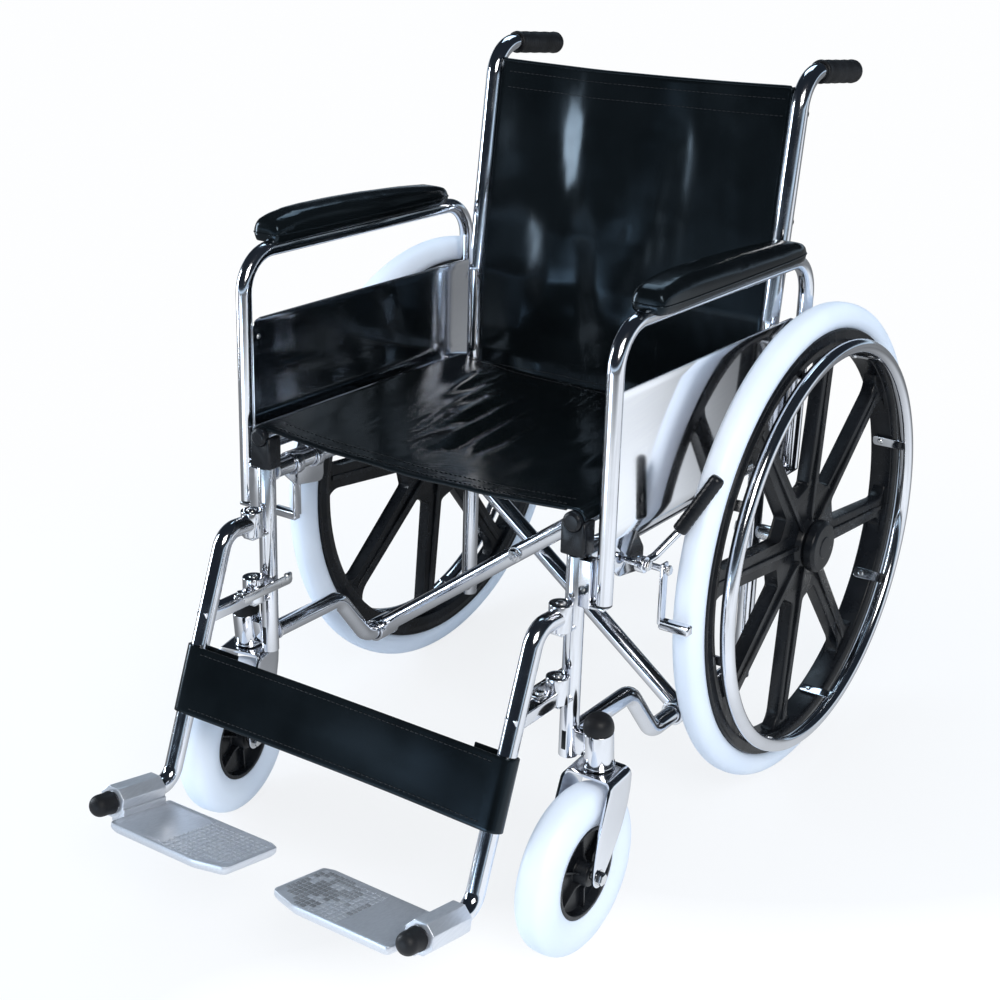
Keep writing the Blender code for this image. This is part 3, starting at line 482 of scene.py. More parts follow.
def makeSmudges():
    # Patches of handling, from one value to another.
    tree, given = newGroup("handledPatches", {"Scale": 12.0, "Low": 0.1, "High": 0.3}, "Value")
    patches = noiseNode(tree, given["Scale"], 4.0)
    value = rangeNode(tree, patches, 0.36, 0.66, given["Low"], given["High"])
    return closeGroup(tree, value)


def makeHideGrain():
    # The embossed grain of vinyl: small flat cells with soft valleys, and slack ripples.
    tree, given = newGroup("hideGrain", {"Cells": 900.0, "Ripple": 0.5}, "Height")
    cells = tree.nodes.new("ShaderNodeTexVoronoi")
    cells.feature = "SMOOTH_F1"
    cells.inputs["Smoothness"].default_value = 0.35
    tree.links.new(source(tree, "TexCoord", "Object"), cells.inputs["Vector"])
    tree.links.new(given["Cells"], cells.inputs["Scale"])
    domes = mathNode(tree, "SUBTRACT", 1.0, cells.outputs["Distance"])
    ripples = noiseNode(tree, 55.0, 4.0)
    height = mathNode(tree, "MULTIPLY_ADD", ripples, given["Ripple"], domes)
    return closeGroup(tree, height)


def makeFineGrain():
    # Moulded or cast skin: fine even roughness.
    tree, given = newGroup("mouldedGrain", {"Scale": 900.0, "Depth": 1.0}, "Height")
    height = mathNode(tree, "MULTIPLY", noiseNode(tree, given["Scale"], 2.0), given["Depth"])
    return closeGroup(tree, height)


def makeEdgeWear():
    # Rubbed rims: bright where the surface turns sharply, broken up by noise.
    tree, given = newGroup("rubbedRims", {"Amount": 1.0}, "Mask")
    bend = source(tree, "NewGeometry", "Pointiness")
    rims = rangeNode(tree, bend, 0.53, 0.62, 0.0, 1.0)
    broken = rangeNode(tree, noiseNode(tree, 60.0, 5.0), 0.42, 0.62, 0.0, 1.0)
    mask = mathNode(tree, "MULTIPLY", mathNode(tree, "MULTIPLY", rims, broken), given["Amount"])
    return closeGroup(tree, mask)


def makeDust():
    # Fine dust on what faces up.
    tree, given = newGroup("settledDust", {"Amount": 0.3, "Scale": 30.0}, "Mask")
    facing = splitAxes(tree, source(tree, "NewGeometry", "Normal"))
    upward = rangeNode(tree, facing["Z"], 0.25, 1.0, 0.0, 1.0)
    patches = rangeNode(tree, noiseNode(tree, given["Scale"], 6.0), 0.38, 0.72, 0.0, 1.0)
    mask = mathNode(tree, "MULTIPLY", mathNode(tree, "MULTIPLY", upward, patches), given["Amount"])
    return closeGroup(tree, mask)


def makeBrushing():
    # Drawn or brushed metal: long thin streaks front to back.
    tree, given = newGroup("drawnStreaks", {"Scale": 40.0, "Low": 0.1, "High": 0.3}, "Value")
    streaks = noiseNode(tree, given["Scale"], 3.0, stretch=(14.0, 0.7, 14.0))
    value = rangeNode(tree, streaks, 0.3, 0.7, given["Low"], given["High"])
    return closeGroup(tree, value)


groups = {
    "patches": makeSmudges(),
    "hide": makeHideGrain(),
    "grain": makeFineGrain(),
    "wear": makeEdgeWear(),
    "dust": makeDust(),
    "streaks": makeBrushing(),
}


def useGroup(tree, key, **values):
    node = tree.nodes.new("ShaderNodeGroup")
    node.node_tree = groups[key]
    for name, value in values.items():
        node.inputs[name].default_value = value
    return node.outputs[0]


def mixColour(tree, mask, first, second):
    node = tree.nodes.new("ShaderNodeMix")
    node.data_type = "RGBA"
    tree.links.new(mask, node.inputs["Factor"])
    for socket, colour in ((node.inputs[6], first), (node.inputs[7], second)):
        feed(tree, (*colour, 1) if isinstance(colour, tuple) else colour, socket)
    return node.outputs[2]


def newMaterial(name, slot, **uniform):
    material = bpy.data.materials.new(name)
    material.use_nodes = True
    tree = material.node_tree
    shader = tree.nodes["Principled BSDF"]
    for socket, value in uniform.items():
        shader.inputs[socket.replace("_", " ")].default_value = value
    return {"material": material, "slot": slot}, tree, shader


def setRough(tree, shader, scale, low, high):
    tree.links.new(useGroup(tree, "patches", Scale=scale, Low=low, High=high), shader.inputs["Roughness"])


def addBump(tree, shader, height, distance, strength):
    bump = tree.nodes.new("ShaderNodeBump")
    bump.inputs["Distance"].default_value = distance
    bump.inputs["Strength"].default_value = strength
    tree.links.new(height, bump.inputs["Height"])
    tree.links.new(bump.outputs["Normal"], shader.inputs["Normal"])


def makeFinish(name, slot, colour, layers, rough, bump, **uniform):
    # Layers go over the base colour: a group that masks, its values, the colour it brings in.
    finish, tree, shader = newMaterial(name, slot, **uniform)
    for key, values, over in layers:
        colour = mixColour(tree, useGroup(tree, key, **values), colour, over)
    tree.links.new(colour, shader.inputs["Base Color"])
    setRough(tree, shader, *rough)
    key, values, distance, strength = bump
    addBump(tree, shader, useGroup(tree, key, **values), distance, strength)
    return finish


def makeChrome(name="chromeTube", rough=(0.08, 0.15), colour=(0.79, 0.81, 0.86)):
    layers = [("patches", {"Scale": 9.0, "Low": 0.0, "High": 0.5}, tuple(part * 0.84 for part in colour)),
              ("dust", {"Amount": 0.15, "Scale": 45.0}, (0.58, 0.58, 0.58))]
    bump = ("grain", {"Scale": 70.0, "Depth": 0.25}, 0.00012, 0.12)
    return makeFinish(name, "chrome_tube", colour, layers, (21.0, *rough), bump, Metallic=1.0)


def makeAluminium():
    layers = [("streaks", {"Scale": 30.0, "Low": 0.0, "High": 1.0}, (0.70, 0.72, 0.77)),
              ("wear", {"Amount": 0.5}, (0.80, 0.81, 0.83))]
    bump = ("grain", {"Scale": 1100.0, "Depth": 0.5}, 0.0002, 0.25)
    return makeFinish("castAluminium", "cast_aluminium", (0.64, 0.66, 0.71), layers, (12.0, 0.33, 0.42),
                      bump, Metallic=0.72)


def makePolishedSheet():
    finish, tree, shader = newMaterial("polishedSheet", "polished_sheet", Metallic=1.0)
    streaks = useGroup(tree, "streaks", Scale=22.0, Low=0.0, High=1.0)
    body = mixColour(tree, streaks, (0.84, 0.86, 0.91), (0.86, 0.88, 0.92))
    tree.links.new(body, shader.inputs["Base Color"])
    setRough(tree, shader, 8.0, 0.06, 0.13)
    addBump(tree, shader, noiseNode(tree, 5.0, 1.0), 0.006, 0.10)
    return finish


def makeTyre():
    layers = [("patches", {"Scale": 7.0, "Low": 0.0, "High": 1.0}, (0.76, 0.81, 0.90)),
              ("dust", {"Amount": 0.3, "Scale": 24.0}, (0.77, 0.81, 0.87))]
    bump = ("grain", {"Scale": 420.0, "Depth": 0.6}, 0.0003, 0.3)
    return makeFinish("greyTyre", "grey_tyre", (0.80, 0.845, 0.92), layers, (26.0, 0.34, 0.52), bump,
                      IOR=1.45)


def makeBlack(name, slot, colour, rough, grain, depth, worn):
    bright = tuple(part * 1.8 + 0.004 for part in colour)
    layers = [("patches", {"Scale": 18.0, "Low": 0.0, "High": 0.6}, bright),
              ("wear", {"Amount": worn}, (0.05, 0.05, 0.053)),
              ("dust", {"Amount": 0.012, "Scale": 40.0}, (0.30, 0.30, 0.31))]
    bump = ("grain", {"Scale": grain, "Depth": 0.8}, depth, 0.5)
    return makeFinish(name, slot, colour, layers, (30.0, *rough), bump, Specular_IOR_Level=0.26)


def makeVinyl():
    layers = [("patches", {"Scale": 6.0, "Low": 0.0, "High": 1.0}, (0.0042, 0.0056, 0.0064)),
              ("wear", {"Amount": 0.3}, (0.022, 0.024, 0.027)),
              ("dust", {"Amount": 0.004, "Scale": 60.0}, (0.30, 0.31, 0.32))]
    bump = ("hide", {"Cells": 620.0, "Ripple": 0.5}, 0.0002, 0.10)
    return makeFinish("blackVinyl", "black_vinyl", (0.0022, 0.0030, 0.0034), layers, (14.0, 0.16, 0.22), bump,
                      Specular_IOR_Level=0.34, Specular_Tint=(0.62, 0.82, 1.0, 1.0))


chrome = makeChrome()
zinc = makeChrome("zincFixing", (0.18, 0.30), (0.70, 0.71, 0.73))
aluminium = makeAluminium()
polished = makePolishedSheet()
tyreGrey = makeTyre()
plastic = makeBlack("blackPlastic", "black_plastic", (0.0050, 0.0058, 0.0075), (0.22, 0.36), 700.0,
                    0.00025, 0.25)
rubber = makeBlack("blackRubber", "black_rubber", (0.0070, 0.0072, 0.0085), (0.42, 0.58), 520.0,
                   0.00035, 0.15)
vinyl = makeVinyl()
grime = makeBlack("treadGrime", "cast_aluminium", (0.13, 0.135, 0.145), (0.50, 0.68), 900.0, 0.0002, 0.0)
thread = makeBlack("blackThread", "black_vinyl", (0.0090, 0.0095, 0.0110), (0.42, 0.60), 2400.0, 0.0002, 0.0)
print("materials made:", len(bpy.data.materials))


# Rear wheels

wheel = {
    "centre": Vector((0.288, 0.225, 0.305)),
    "radius": 0.305,
    "halfWidth": 0.018,
    "rimRadius": 0.2745,
    "rimInner": 0.250,
    "spokes": 8,
    "phase": radians(33.75),
    "hoopRadius": 0.256,
    "hoopOut": 0.034,
    "hoopTube": 0.009,
    # Where the gaps begin, and the half widths of a spoke there and at the rim
    "gapFoot": 0.078,
    "spokeFoot": 0.0155,
    "spokeTip": 0.0130,
}


def tyreProfile(bead, outer, half, depth, power):
    # From the bead at the rim over the round crown to the other bead.
    crown = [(outer - depth + depth * sin(angle), half * cos(angle) ** power)
             for angle in arc(*range(0, 90, 9))]
    upper = bead + crown
    return upper + [(outer, 0.0)] + [(radius, -height) for radius, height in reversed(upper)]


def makeRearTyre():
    rim = wheel["rimRadius"]
    profile = tyreProfile([(rim + 0.0004, 0.0132), (rim + 0.0030, 0.0158)], wheel["radius"],
                          wheel["halfWidth"], 0.0215, 0.72)
    tyre = turned(profile, wheel["centre"], (1, 0, 0), 144, ring=True)
    placePair(tyre, "RearTyre", tyreGrey, "wheel", ["tyre"], leaned=False)


def spokeGap():
    half = pi / wheel["spokes"]
    edge = wheel["gapFoot"]
    low = edge * tan(half) - wheel["spokeFoot"] / cos(half)
    outer = wheel["rimInner"] + 0.003
    reach = half - wheel["spokeTip"] / outer
    corners = [(edge, -low, 0.007), (outer * cos(reach), -outer * sin(reach), 0.024)]
    corners += [(outer * cos(reach * part / 4), outer * sin(reach * part / 4), 0)
                for part in range(-3, 4)]
    corners += [(outer * cos(reach), outer * sin(reach), 0.024), (edge, low, 0.007)]
    return roundedLoop(corners, 7)


def makeMagWheel():
    centre = wheel["centre"]
    rim = turned(ringProfile(wheel["rimInner"], 0.0145, [(0.262, 0.0178), (0.2700, 0.0162), (0.2744, 0.0172)],
                             0.0016, 3), centre, (1, 0, 0), 128, ring=True)
    disc = circle(wheel["rimInner"] + 0.007, 96)
    holes = []
    for k in range(wheel["spokes"]):
        turn = Matrix.Rotation(wheel["phase"] + tau * (k + 0.5) / wheel["spokes"], 2)
        holes.append([turn @ point for point in reversed(spokeGap())])
    star = cutPlate(disc, 0.018, facePlace(centre, (0, 1, 0), (0, 0, 1)), holes, 0.0022)
    hub = turnedSoft([(0, 0.0352), (0.029, 0.0345), (0.0335, 0.031), (0.0335, 0.021), (0.027, 0.016),
                      (0.034, 0.008), (0.034, -0.012), (0.024, -0.027), (0.0078, -0.027), (0.0078, -0.015)],
                     0.003, centre, (1, 0, 0), 64)
    cap = turnedSoft([(0, 0.0362), (0.0135, 0.0360), (0.0150, 0.0340), (0.0150, 0.030)], 0.0015, centre,
                     (1, 0, 0), 48)
    ribs = []
    outline = [(0.020, -0.0135), (0.241, -0.0105), (0.241, 0.0105), (0.020, 0.0135)]
    for k in range(wheel["spokes"]):
        along = radial(wheel["phase"] + tau * k / wheel["spokes"])
        ribs.append(cutPlate(outline, 0.007, facePlace(centre, along, (1, 0, 0)), edge=0.0014))
    placePair(joined(rim, star, hub, cap, *ribs), "MagWheel", plastic, "wheel", ["mag_wheel"], leaned=False)


def makeHandrim():
    centre = wheel["centre"] + Vector((wheel["hoopOut"], 0, 0))
    section = [(wheel["hoopRadius"] + x, y) for x, y in circle(wheel["hoopTube"], 20)]
    hoop = turned(section, centre, (1, 0, 0), 160, ring=True)
    tabs = []
    heads = []
    outline = roundedLoop([(-0.0225, -0.007, 0.004), (0.0245, -0.0066, 0.001), (0.0245, 0.0066, 0.001),
                           (-0.0225, 0.007, 0.004)], 4)
    dome = [(0, 0.0036), (0.0030, 0.0032), (0.0042, 0.0014), (0.0042, 0)]
    for k in range(wheel["spokes"]):
        out = radial(wheel["phase"] + tau * (k + 0.5) / wheel["spokes"])
        middle = wheel["centre"] + Vector((0.0125, 0, 0)) + out * (wheel["rimInner"] - 0.0026)
        across = facePlace(middle, (1, 0, 0), out.cross((1, 0, 0)))
        tabs.append(cutPlate(outline, 0.0028, across, edge=0.0005))
        heads.append(turnedSoft(dome, 0.0008, middle + Vector((-0.012, 0, 0)), -out, 24, 3))
    placePair(joined(hoop, *tabs), "Handrim", chrome, "wheel", ["handrim"], leaned=False)
    placePair(joined(*heads), "HandrimScrews", zinc, "wheel", leaned=False)


def makeAxleBolt():
    y, z = wheel["centre"].yz
    head = [(0, 0.2000), (0.0098, 0.2000), (0.0106, 0.2015), (0.0106, 0.2086), (0, 0.2086)]
    shapes = [turnedSoft(head, 0.0006, (0, y, z), (1, 0, 0), 6, 2)]
    for inner, outer, radius in ((0.205, 0.308, 0.006), (0.2333, 0.2590, 0.010), (0.2085, 0.2107, 0.0125)):
        shapes.append(rod((inner, y, z), (outer, y, z), radius))
    placePair(joined(*shapes), "WheelAxle", zinc, nodes=["wheel_axle"], leaned=False, angle=35)


makeRearTyre()
makeMagWheel()
makeHandrim()
makeAxleBolt()
print("rear wheels made")


# Casters. The right one came to rest turned a little on its stem.

caster = {
    "x": 0.261,
    "stemY": -0.213,
    "trail": 0.053,
    "radius": 0.100,
    "halfWidth": 0.0235,
    "crown": 0.205,
    "legHalf": 0.0307,
    "legEnd": 0.0115,
}
spinAxis = joints["right_caster_spin"]["axis"]
stem = Vector((-caster["x"], caster["stemY"], 0))
casterTurn = (Matrix.Translation(stem) @ Matrix.Rotation(atan2(spinAxis[1], spinAxis[0]), 4, "Z")
              @ Matrix.Translation(-stem))


def makeCasterWheel():
    centre = (caster["x"], caster["stemY"] - caster["trail"], caster["radius"])
    profile = tyreProfile([(0.0552, 0.0165), (0.0600, 0.0200)], caster["radius"], caster["halfWidth"],
                          0.028, 0.66)
    tyre = turned(profile, centre, (1, 0, 0), 96, ring=True)
    placePair(tyre, "CasterTyre", tyreGrey, "caster", ["caster_tyre"], leaned=False, turn=casterTurn)
    disc = turned(ringProfile(0.0047, 0.0225, [(0.0135, 0.0225), (0.0165, 0.0070), (0.0480, 0.0060),
                                               (0.0500, 0.0165), (0.0550, 0.0165)], 0.0014, 3),
                  centre, (1, 0, 0), 64, ring=True)
    ribs = []
    outline = [(0.0140, -0.0160), (0.0220, -0.0128), (0.0505, -0.0120), (0.0505, 0.0120),
               (0.0220, 0.0128), (0.0140, 0.0160)]
    for k in range(6):
        across = radial(tau * (k + 0.5) / 6)
        ribs.append(cutPlate(outline, 0.0026, facePlace(centre, across, (1, 0, 0)), edge=0.0006))
    placePair(joined(disc, *ribs), "CasterHub", plastic, "caster", ["caster_hub"], leaned=False,
              turn=casterTurn)


def makeFork():
    # A strap bent over the wheel, round below its axle and wider towards the crown.
    x, axleY, axleZ = caster["x"], caster["stemY"] - caster["trail"], caster["radius"]
    crown, half, end = caster["crown"], caster["legHalf"], caster["legEnd"]
    corner = 0.008
    path = [(half, axleZ - end * cos(angle)) for angle in arc(*range(0, 90, 10))]
    path += [(half, z) for z in (axleZ, 0.110, 0.122, 0.135, 0.150, 0.165, 0.180, 0.190)]
    path += [(half - corner + corner * cos(angle), crown - corner + corner * sin(angle))
             for angle in arc(*range(0, 91, 15))]
    path += [(half - corner - 0.011, crown)]
    path += [(-side, z) for side, z in reversed(path)]
    rows = []
    for side, z in path:
        if z < axleZ:
            reach = sqrt(max(end ** 2 - (axleZ - z) ** 2, 0.0012 ** 2))
            lead, trail = axleY - reach, axleY + reach
        else:
            rise = (z - axleZ) / (crown - axleZ)
            lead = axleY - end + 0.040 * rise ** 1.6
            trail = axleY + end + 0.0585 * (1 - (1 - rise) ** 2)
        rows.append([(x + side, y, z) for y in spread(lead, trail, 7)])
    strap = worked(grid(rows), ("SOLIDIFY", {"thickness": 0.0034, "offset": 0.0}), bevelled(0.0009))
    profile = [(0, 0.2032), (0.0150, 0.2032), (0.0150, 0.2066), (0.0090, 0.2078), (0.0072, 0.2090),
               (0.0072, 0.2455), (0, 0.2455)]
    collar = turnedSoft(profile, 0.001, (x, caster["stemY"], 0), (0, 0, 1), 48)
    placePair(joined(strap, collar), "CasterFork", chrome, "fork", ["caster_fork"], leaned=False,
              turn=casterTurn)
    bolt = [rod((x - 0.0375, axleY, axleZ), (x + 0.0375, axleY, axleZ), 0.0040)]
    washer = [(0, 0.0014), (0.0098, 0.0012), (0.0100, 0), (0, 0)]
    for side in (-1, 1):
        out = Vector((side, 0, 0))
        base = Vector((x, axleY, axleZ)) + out * (half + 0.0018)
        bolt.append(hexNut(0.0064, 0.0078, 0.0050, 0.0064, base, out))
        bolt.append(turned(washer, base - out * 0.0008, out, 40))
    placePair(joined(*bolt), "CasterBolt", zinc, "fork", leaned=False, angle=35, turn=casterTurn)


def makeHousing():
    x, y = caster["x"], caster["stemY"]
    barrel = sleeve(0.0085, 0.0170, 0.02175, (x, y, 0.23025), (0, 0, 1), 64)
    race = sleeve(0.0120, 0.0182, 0.0016, (x, y, 0.2104), (0, 0, 1), 64, 0.0006)
    web = block((railX + tubeRadius - 0.0004, y - 0.007, 0.2160), (0.2500, y + 0.007, 0.2460),
                0.0015)
    placePair(joined(barrel, race, web), "CasterHousing", chrome, nodes=["caster_housing"], leaned=False)
    dome = [(0.0175 * cos(angle) ** 0.6, 0.2560 + 0.0165 * sin(angle)) for angle in arc(*range(0, 90, 10))]
    profile = [(0, 0.2523), (0.0162, 0.2523), (0.0172, 0.2530), *dome, (0, 0.2725)]
    cap = turned(profile, (x, y, 0), (0, 0, 1), 56)
    placePair(cap, "CasterCap", rubber, nodes=["caster_cap"], leaned=False)


makeCasterWheel()
makeFork()
makeHousing()
print("casters made")


# Side frames

armrest = {
    "x": 0.256,
    "tube": 0.0095,
    "frontY": -0.199,
    "rearY": 0.2495,
    "top": 0.7037,
    "frontFoot": 0.398,
    "rearFoot": 0.432,
    "skirtFoot": 0.458,
    "skirtTop": 0.6265,
}

handle = {
    "y": 0.2645,
    "z": 0.9175,
    "bendZ": 0.620,
    "drop": radians(4.2),
    "length": 0.134,
    "gripLength": 0.098,
    "footZ": 0.138,
}
backSlope = (handle["y"] - backY) / (handle["z"] - handle["bendZ"])


def makeSocket(postY, legY, foot, top):
    lowY = min(postY, legY) - 0.0075
    highY = max(postY, legY) + 0.0045
    x = armrest["x"]
    inner = railX + 0.007
    web = block((inner, lowY, foot - 0.006), (x - armrest["tube"] - 0.0019, highY, top), 0.0014)
    tab = block((inner + 0.007, lowY + 0.001, foot - 0.005), (x + 0.006, highY + 0.003, foot - 0.0008),
                0.0012)
    peg = rod((x, legY, foot - 0.003), (x, legY, foot + 0.044), 0.0062, 0.001)
    return [web, tab, peg]


def tubePlug(x, y, z, down):
    # The plastic plug in a tube's open end.
    profile = [(0, 0.0022), (0.0070, 0.0020), (0.0101, 0.0004), (0.0101, -0.004)]
    return turnedSoft(profile, 0.0012, (x, y, z), down, 40, 3)


def makeBackPost():
    x = railX
    end = Vector((x, handle["y"] + handle["length"] * cos(handle["drop"]),
                  handle["z"] - handle["length"] * sin(handle["drop"])))
    line = roundedPath([(x, backY, handle["bendZ"] - 0.05), (x, backY, handle["bendZ"]),
                        (x, handle["y"], handle["z"]), end], 0.045, 28)
    post = sweep([(x, backY, handle["footZ"]), *line], tubeRadius)
    socket = makeSocket(backY, armrest["rearY"], armrest["rearFoot"], 0.490)
    placePair(joined(post, *socket), "BackPost", chrome, nodes=["back_post"])
    placePair(tubePlug(x, backY, handle["footZ"] + 0.0006, (0, 0, -1)), "BackPostPlug", plastic)
    back = Vector((0, cos(handle["drop"]), -sin(handle["drop"])))
    start = end - back * (handle["gripLength"] - 0.006)
    profile = [(0.0112, 0.0), (0.0128, 0.0), (0.0140, 0.0010), (0.0145, 0.0034), (0.0142, 0.0062)]
    for step in range(1, 67):
        along = 0.0062 + 0.0846 * step / 66
        ribs = 0.00022 * cos(tau * along / 0.0235)
        rings = 0.00016 * cos(tau * along / 0.0042)
        profile.append((0.0140 + ribs + rings, along))
    profile += [(0.0146, 0.0925), (0.0143, 0.0965), (0.0128, 0.0995), (0.0092, 0.1010), (0.0, 0.1012)]
    placePair(turned(profile, start, back, 56), "PushGrip", rubber, nodes=["push_grip"])


def makeFrontPost():
    x, y = railX, chair["postY"]
    bottom, top = chair["postFoot"], chair["postTop"]
    bore, plug = 0.0092, bottom + 0.03
    profile = [(0, plug), (bore, plug), (bore, bottom), (tubeRadius, bottom), (tubeRadius, top), (0, top)]
    post = turnedSoft(profile, 0.0006, (x, y, 0), (0, 0, 1), 48, 2)
    pieces = makeSocket(y, armrest["frontY"], armrest["frontFoot"], 0.448)
    hingeY = chair["hingeY"]
    for low, height in zip(chair["hingePins"], (0.026, 0.024)):
        pieces.append(block((x - 0.008, hingeY - 0.008, low), (x + 0.008, y - 0.006, low + 0.004), 0.0012))
        pieces.append(rod((x, hingeY, low + 0.001), (x, hingeY, low + height), 0.0042, 0.001))
    placePair(joined(post, *pieces), "FrontPost", chrome, nodes=["front_post"])
    slot = block((x - 0.0030, y - tubeRadius - 0.0002, bottom + 0.010),
                 (x + 0.0030, y - tubeRadius + 0.0030, bottom + 0.034), 0.0010)
    placePair(slot, "PostSlot", plastic)


def makeRails():
    x, y = railX, chair["postY"]
    near = y + tubeRadius - 0.0006
    far = backY - tubeRadius + 0.0006
    low = roundedPath([(x, near, 0.230), (x, -0.0706, 0.230), (x, -0.0120, chair["lowRailZ"]),
                       (x, far, chair["lowRailZ"])], 0.030, 20)
    placePair(sweep(low, tubeRadius), "LowerRail", chrome, nodes=["lower_rail"])
    high = [(x, near, chair["highRailZ"]), (x, far, chair["highRailZ"])]
    placePair(sweep(high, tubeRadius), "UpperRail", chrome, nodes=["upper_rail"])
    around, bead = 0.0112, 0.0012
    beads = []
    for end, inward, z in ((near, 1, 0.230), (near, 1, chair["highRailZ"]), (far, -1, chair["lowRailZ"]),
                           (far, -1, chair["highRailZ"])):
        seam = [Vector((x + around * cos(angle), end + inward * bead * (1 + cos(2 * angle)) / 2,
                        z + around * sin(angle))) for angle in spread(0, tau, 33)]
        beads.append(sweep(seam, bead, 8, [1.0] * 33))
    placePair(joined(*beads), "WeldBeads", zinc)


def makeSeatRails():
    x, z = railX, chair["seatZ"]
    rail = sweep([(x, chair["seatFront"], z), (x, chair["seatRear"], z)], tubeRadius)
    placePair(rail, "SeatRail", chrome, ("front_arm", "rear_arm"), ["seat_rail"])
    profile = [(0, 0.0036), (0.0082, 0.0032), (0.0113, 0.0010), (0.0113, -0.0060), (0.0109, -0.0064)]
    caps = [turnedSoft(profile, 0.0022, (x, end, z), (0, out, 0), 48)
            for end, out in ((chair["seatFront"], -1), (chair["seatRear"], 1))]
    placePair(joined(*caps), "SeatRailCaps", plastic, ("front_arm", "rear_arm"))


makeBackPost()
makeFrontPost()
makeRails()
makeSeatRails()
placeRefined("front_saddle", "FrontSaddle", plastic, 0.0010)
placeRefined("rear_saddle", "RearSaddle", plastic, 0.0010)
print("side frames made")


# Cross brace

brace = {"frontY": 0.022, "rearY": 0.058, "bore": 0.0119, "sleeve": 0.0152, "sleeveHalf": 0.018}


def makeCrossArm(side, y, end):
    foot = Vector((side * railX, y, chair["lowRailZ"]))
    head = Vector((-side * railX, y, chair["seatZ"]))
    along = (head - foot).normalized()
    arm = sweep([foot + along * 0.012, head - along * (tubeRadius - 0.001)], tubeRadius)
    hinge = sleeve(brace["bore"], brace["sleeve"], brace["sleeveHalf"], foot, (0, 1, 0), 56, 0.0007)
    place(joined(arm, hinge), "CrossArm" + end, chrome, f"{end.lower()}_arm", ["cross_arm_" + end.lower()])


def makePivotBolt():
    z = (chair["lowRailZ"] + chair["seatZ"]) / 2
    front = brace["frontY"] - tubeRadius
    rear = brace["rearY"] + tubeRadius
    shapes = [rod((0, front - 0.003, z), (0, rear + 0.006, z), 0.0040)]
    for base, out in ((front - 0.0003, -1), (rear + 0.0003, 1)):
        shapes.append(hexNut(0.0068, 0.0080, 0.0046, 0.0060, (0, base + out * 0.001, z), (0, out, 0)))
        shapes.append(rod((0, base, z), (0, base + out * 0.0012, z), 0.0100, 0.0003))
    shapes.append(rod((0, front + 2 * tubeRadius, z), (0, rear - 2 * tubeRadius, z), 0.0100))
    place(joined(*shapes), "PivotBolt", zinc, "rear_arm", ["cross_pivot_bolt"], angle=35)


makeCrossArm(1, brace["rearY"], "Rear")
makeCrossArm(-1, brace["frontY"], "Front")
makePivotBolt()
print("cross brace made")


# Armrests

def makeArmrestTube():
    x = armrest["x"]
    front, rear, top = armrest["frontY"], armrest["rearY"], armrest["top"]
    line = roundedPath([(x, front, armrest["frontFoot"]), (x, front, top), (x, rear, top),
                        (x, rear, armrest["rearFoot"])], 0.048, 28)
    hoop = sweep(line, armrest["tube"])
    placePair(hoop, "ArmrestTube", chrome, "armrest", ["armrest_tube"])
    collars = []
    for y, foot in ((front, armrest["frontFoot"]), (rear, armrest["rearFoot"])):
        collars.append(sleeve(0.0064, 0.0094, 0.0012, (x, y, foot - 0.0002), (0, 0, 1), 40, 0.0004, 2))
    placePair(joined(*collars), "ArmrestFerrules", plastic, "armrest")


def makeSkirt():
    front, rear = armrest["frontY"] + 0.002, armrest["rearY"] - 0.002
    low, high = armrest["skirtFoot"], armrest["skirtTop"]
    corner = 0.012
    outline = roundedBox(front, low, rear, high, corner)
    inner = armrest["x"] - armrest["tube"] - chair["gap"] - 0.0006
    panel = cutPlate(outline, 0.0014, facePlace((inner, 0, 0), (0, 1, 0), (0, 0, 1)), edge=0.0004)
    hem = sweep([Vector((inner, y, high - 0.0004)) for y in spread(front + corner, rear - corner, 21)],
                0.0013, 12)
    placePair(joined(panel, hem), "SkirtPanel", polished, "armrest", ["skirt_panel"])
    dome = [(0, 0.0018), (0.0016, 0.0016), (0.0030, 0.0008), (0.0034, 0)]
    rivets = [turned(dome, (inner + out * 0.0006, y, z), (out, 0, 0), 24)
              for y in (front + 0.010, rear - 0.010) for z in (low + 0.022, high - 0.022) for out in (-1, 1)]
    placePair(joined(*rivets), "SkirtRivets", zinc, "armrest")


makeArmrestTube()
makeSkirt()
print("armrest tubes and skirts made")


# Footrests

footrest = {
    "hangerTop": 0.386,
    "bendY": -0.278,
    "cornerY": -0.3846,
    "cornerZ": 0.0973,
    "pitch": radians(10.7),
    "stub": 0.116,
    "strutZ": 0.292,
    "strutY": -0.322,
}
plateAlong = Vector((0, -cos(footrest["pitch"]), sin(footrest["pitch"])))
plateUp = Vector((0, sin(footrest["pitch"]), cos(footrest["pitch"])))


def platePoint(along, inboard, up):
    corner = Vector((railX, footrest["cornerY"], footrest["cornerZ"]))
    return corner + plateAlong * along + Vector((-inboard, 0, 0)) + plateUp * up


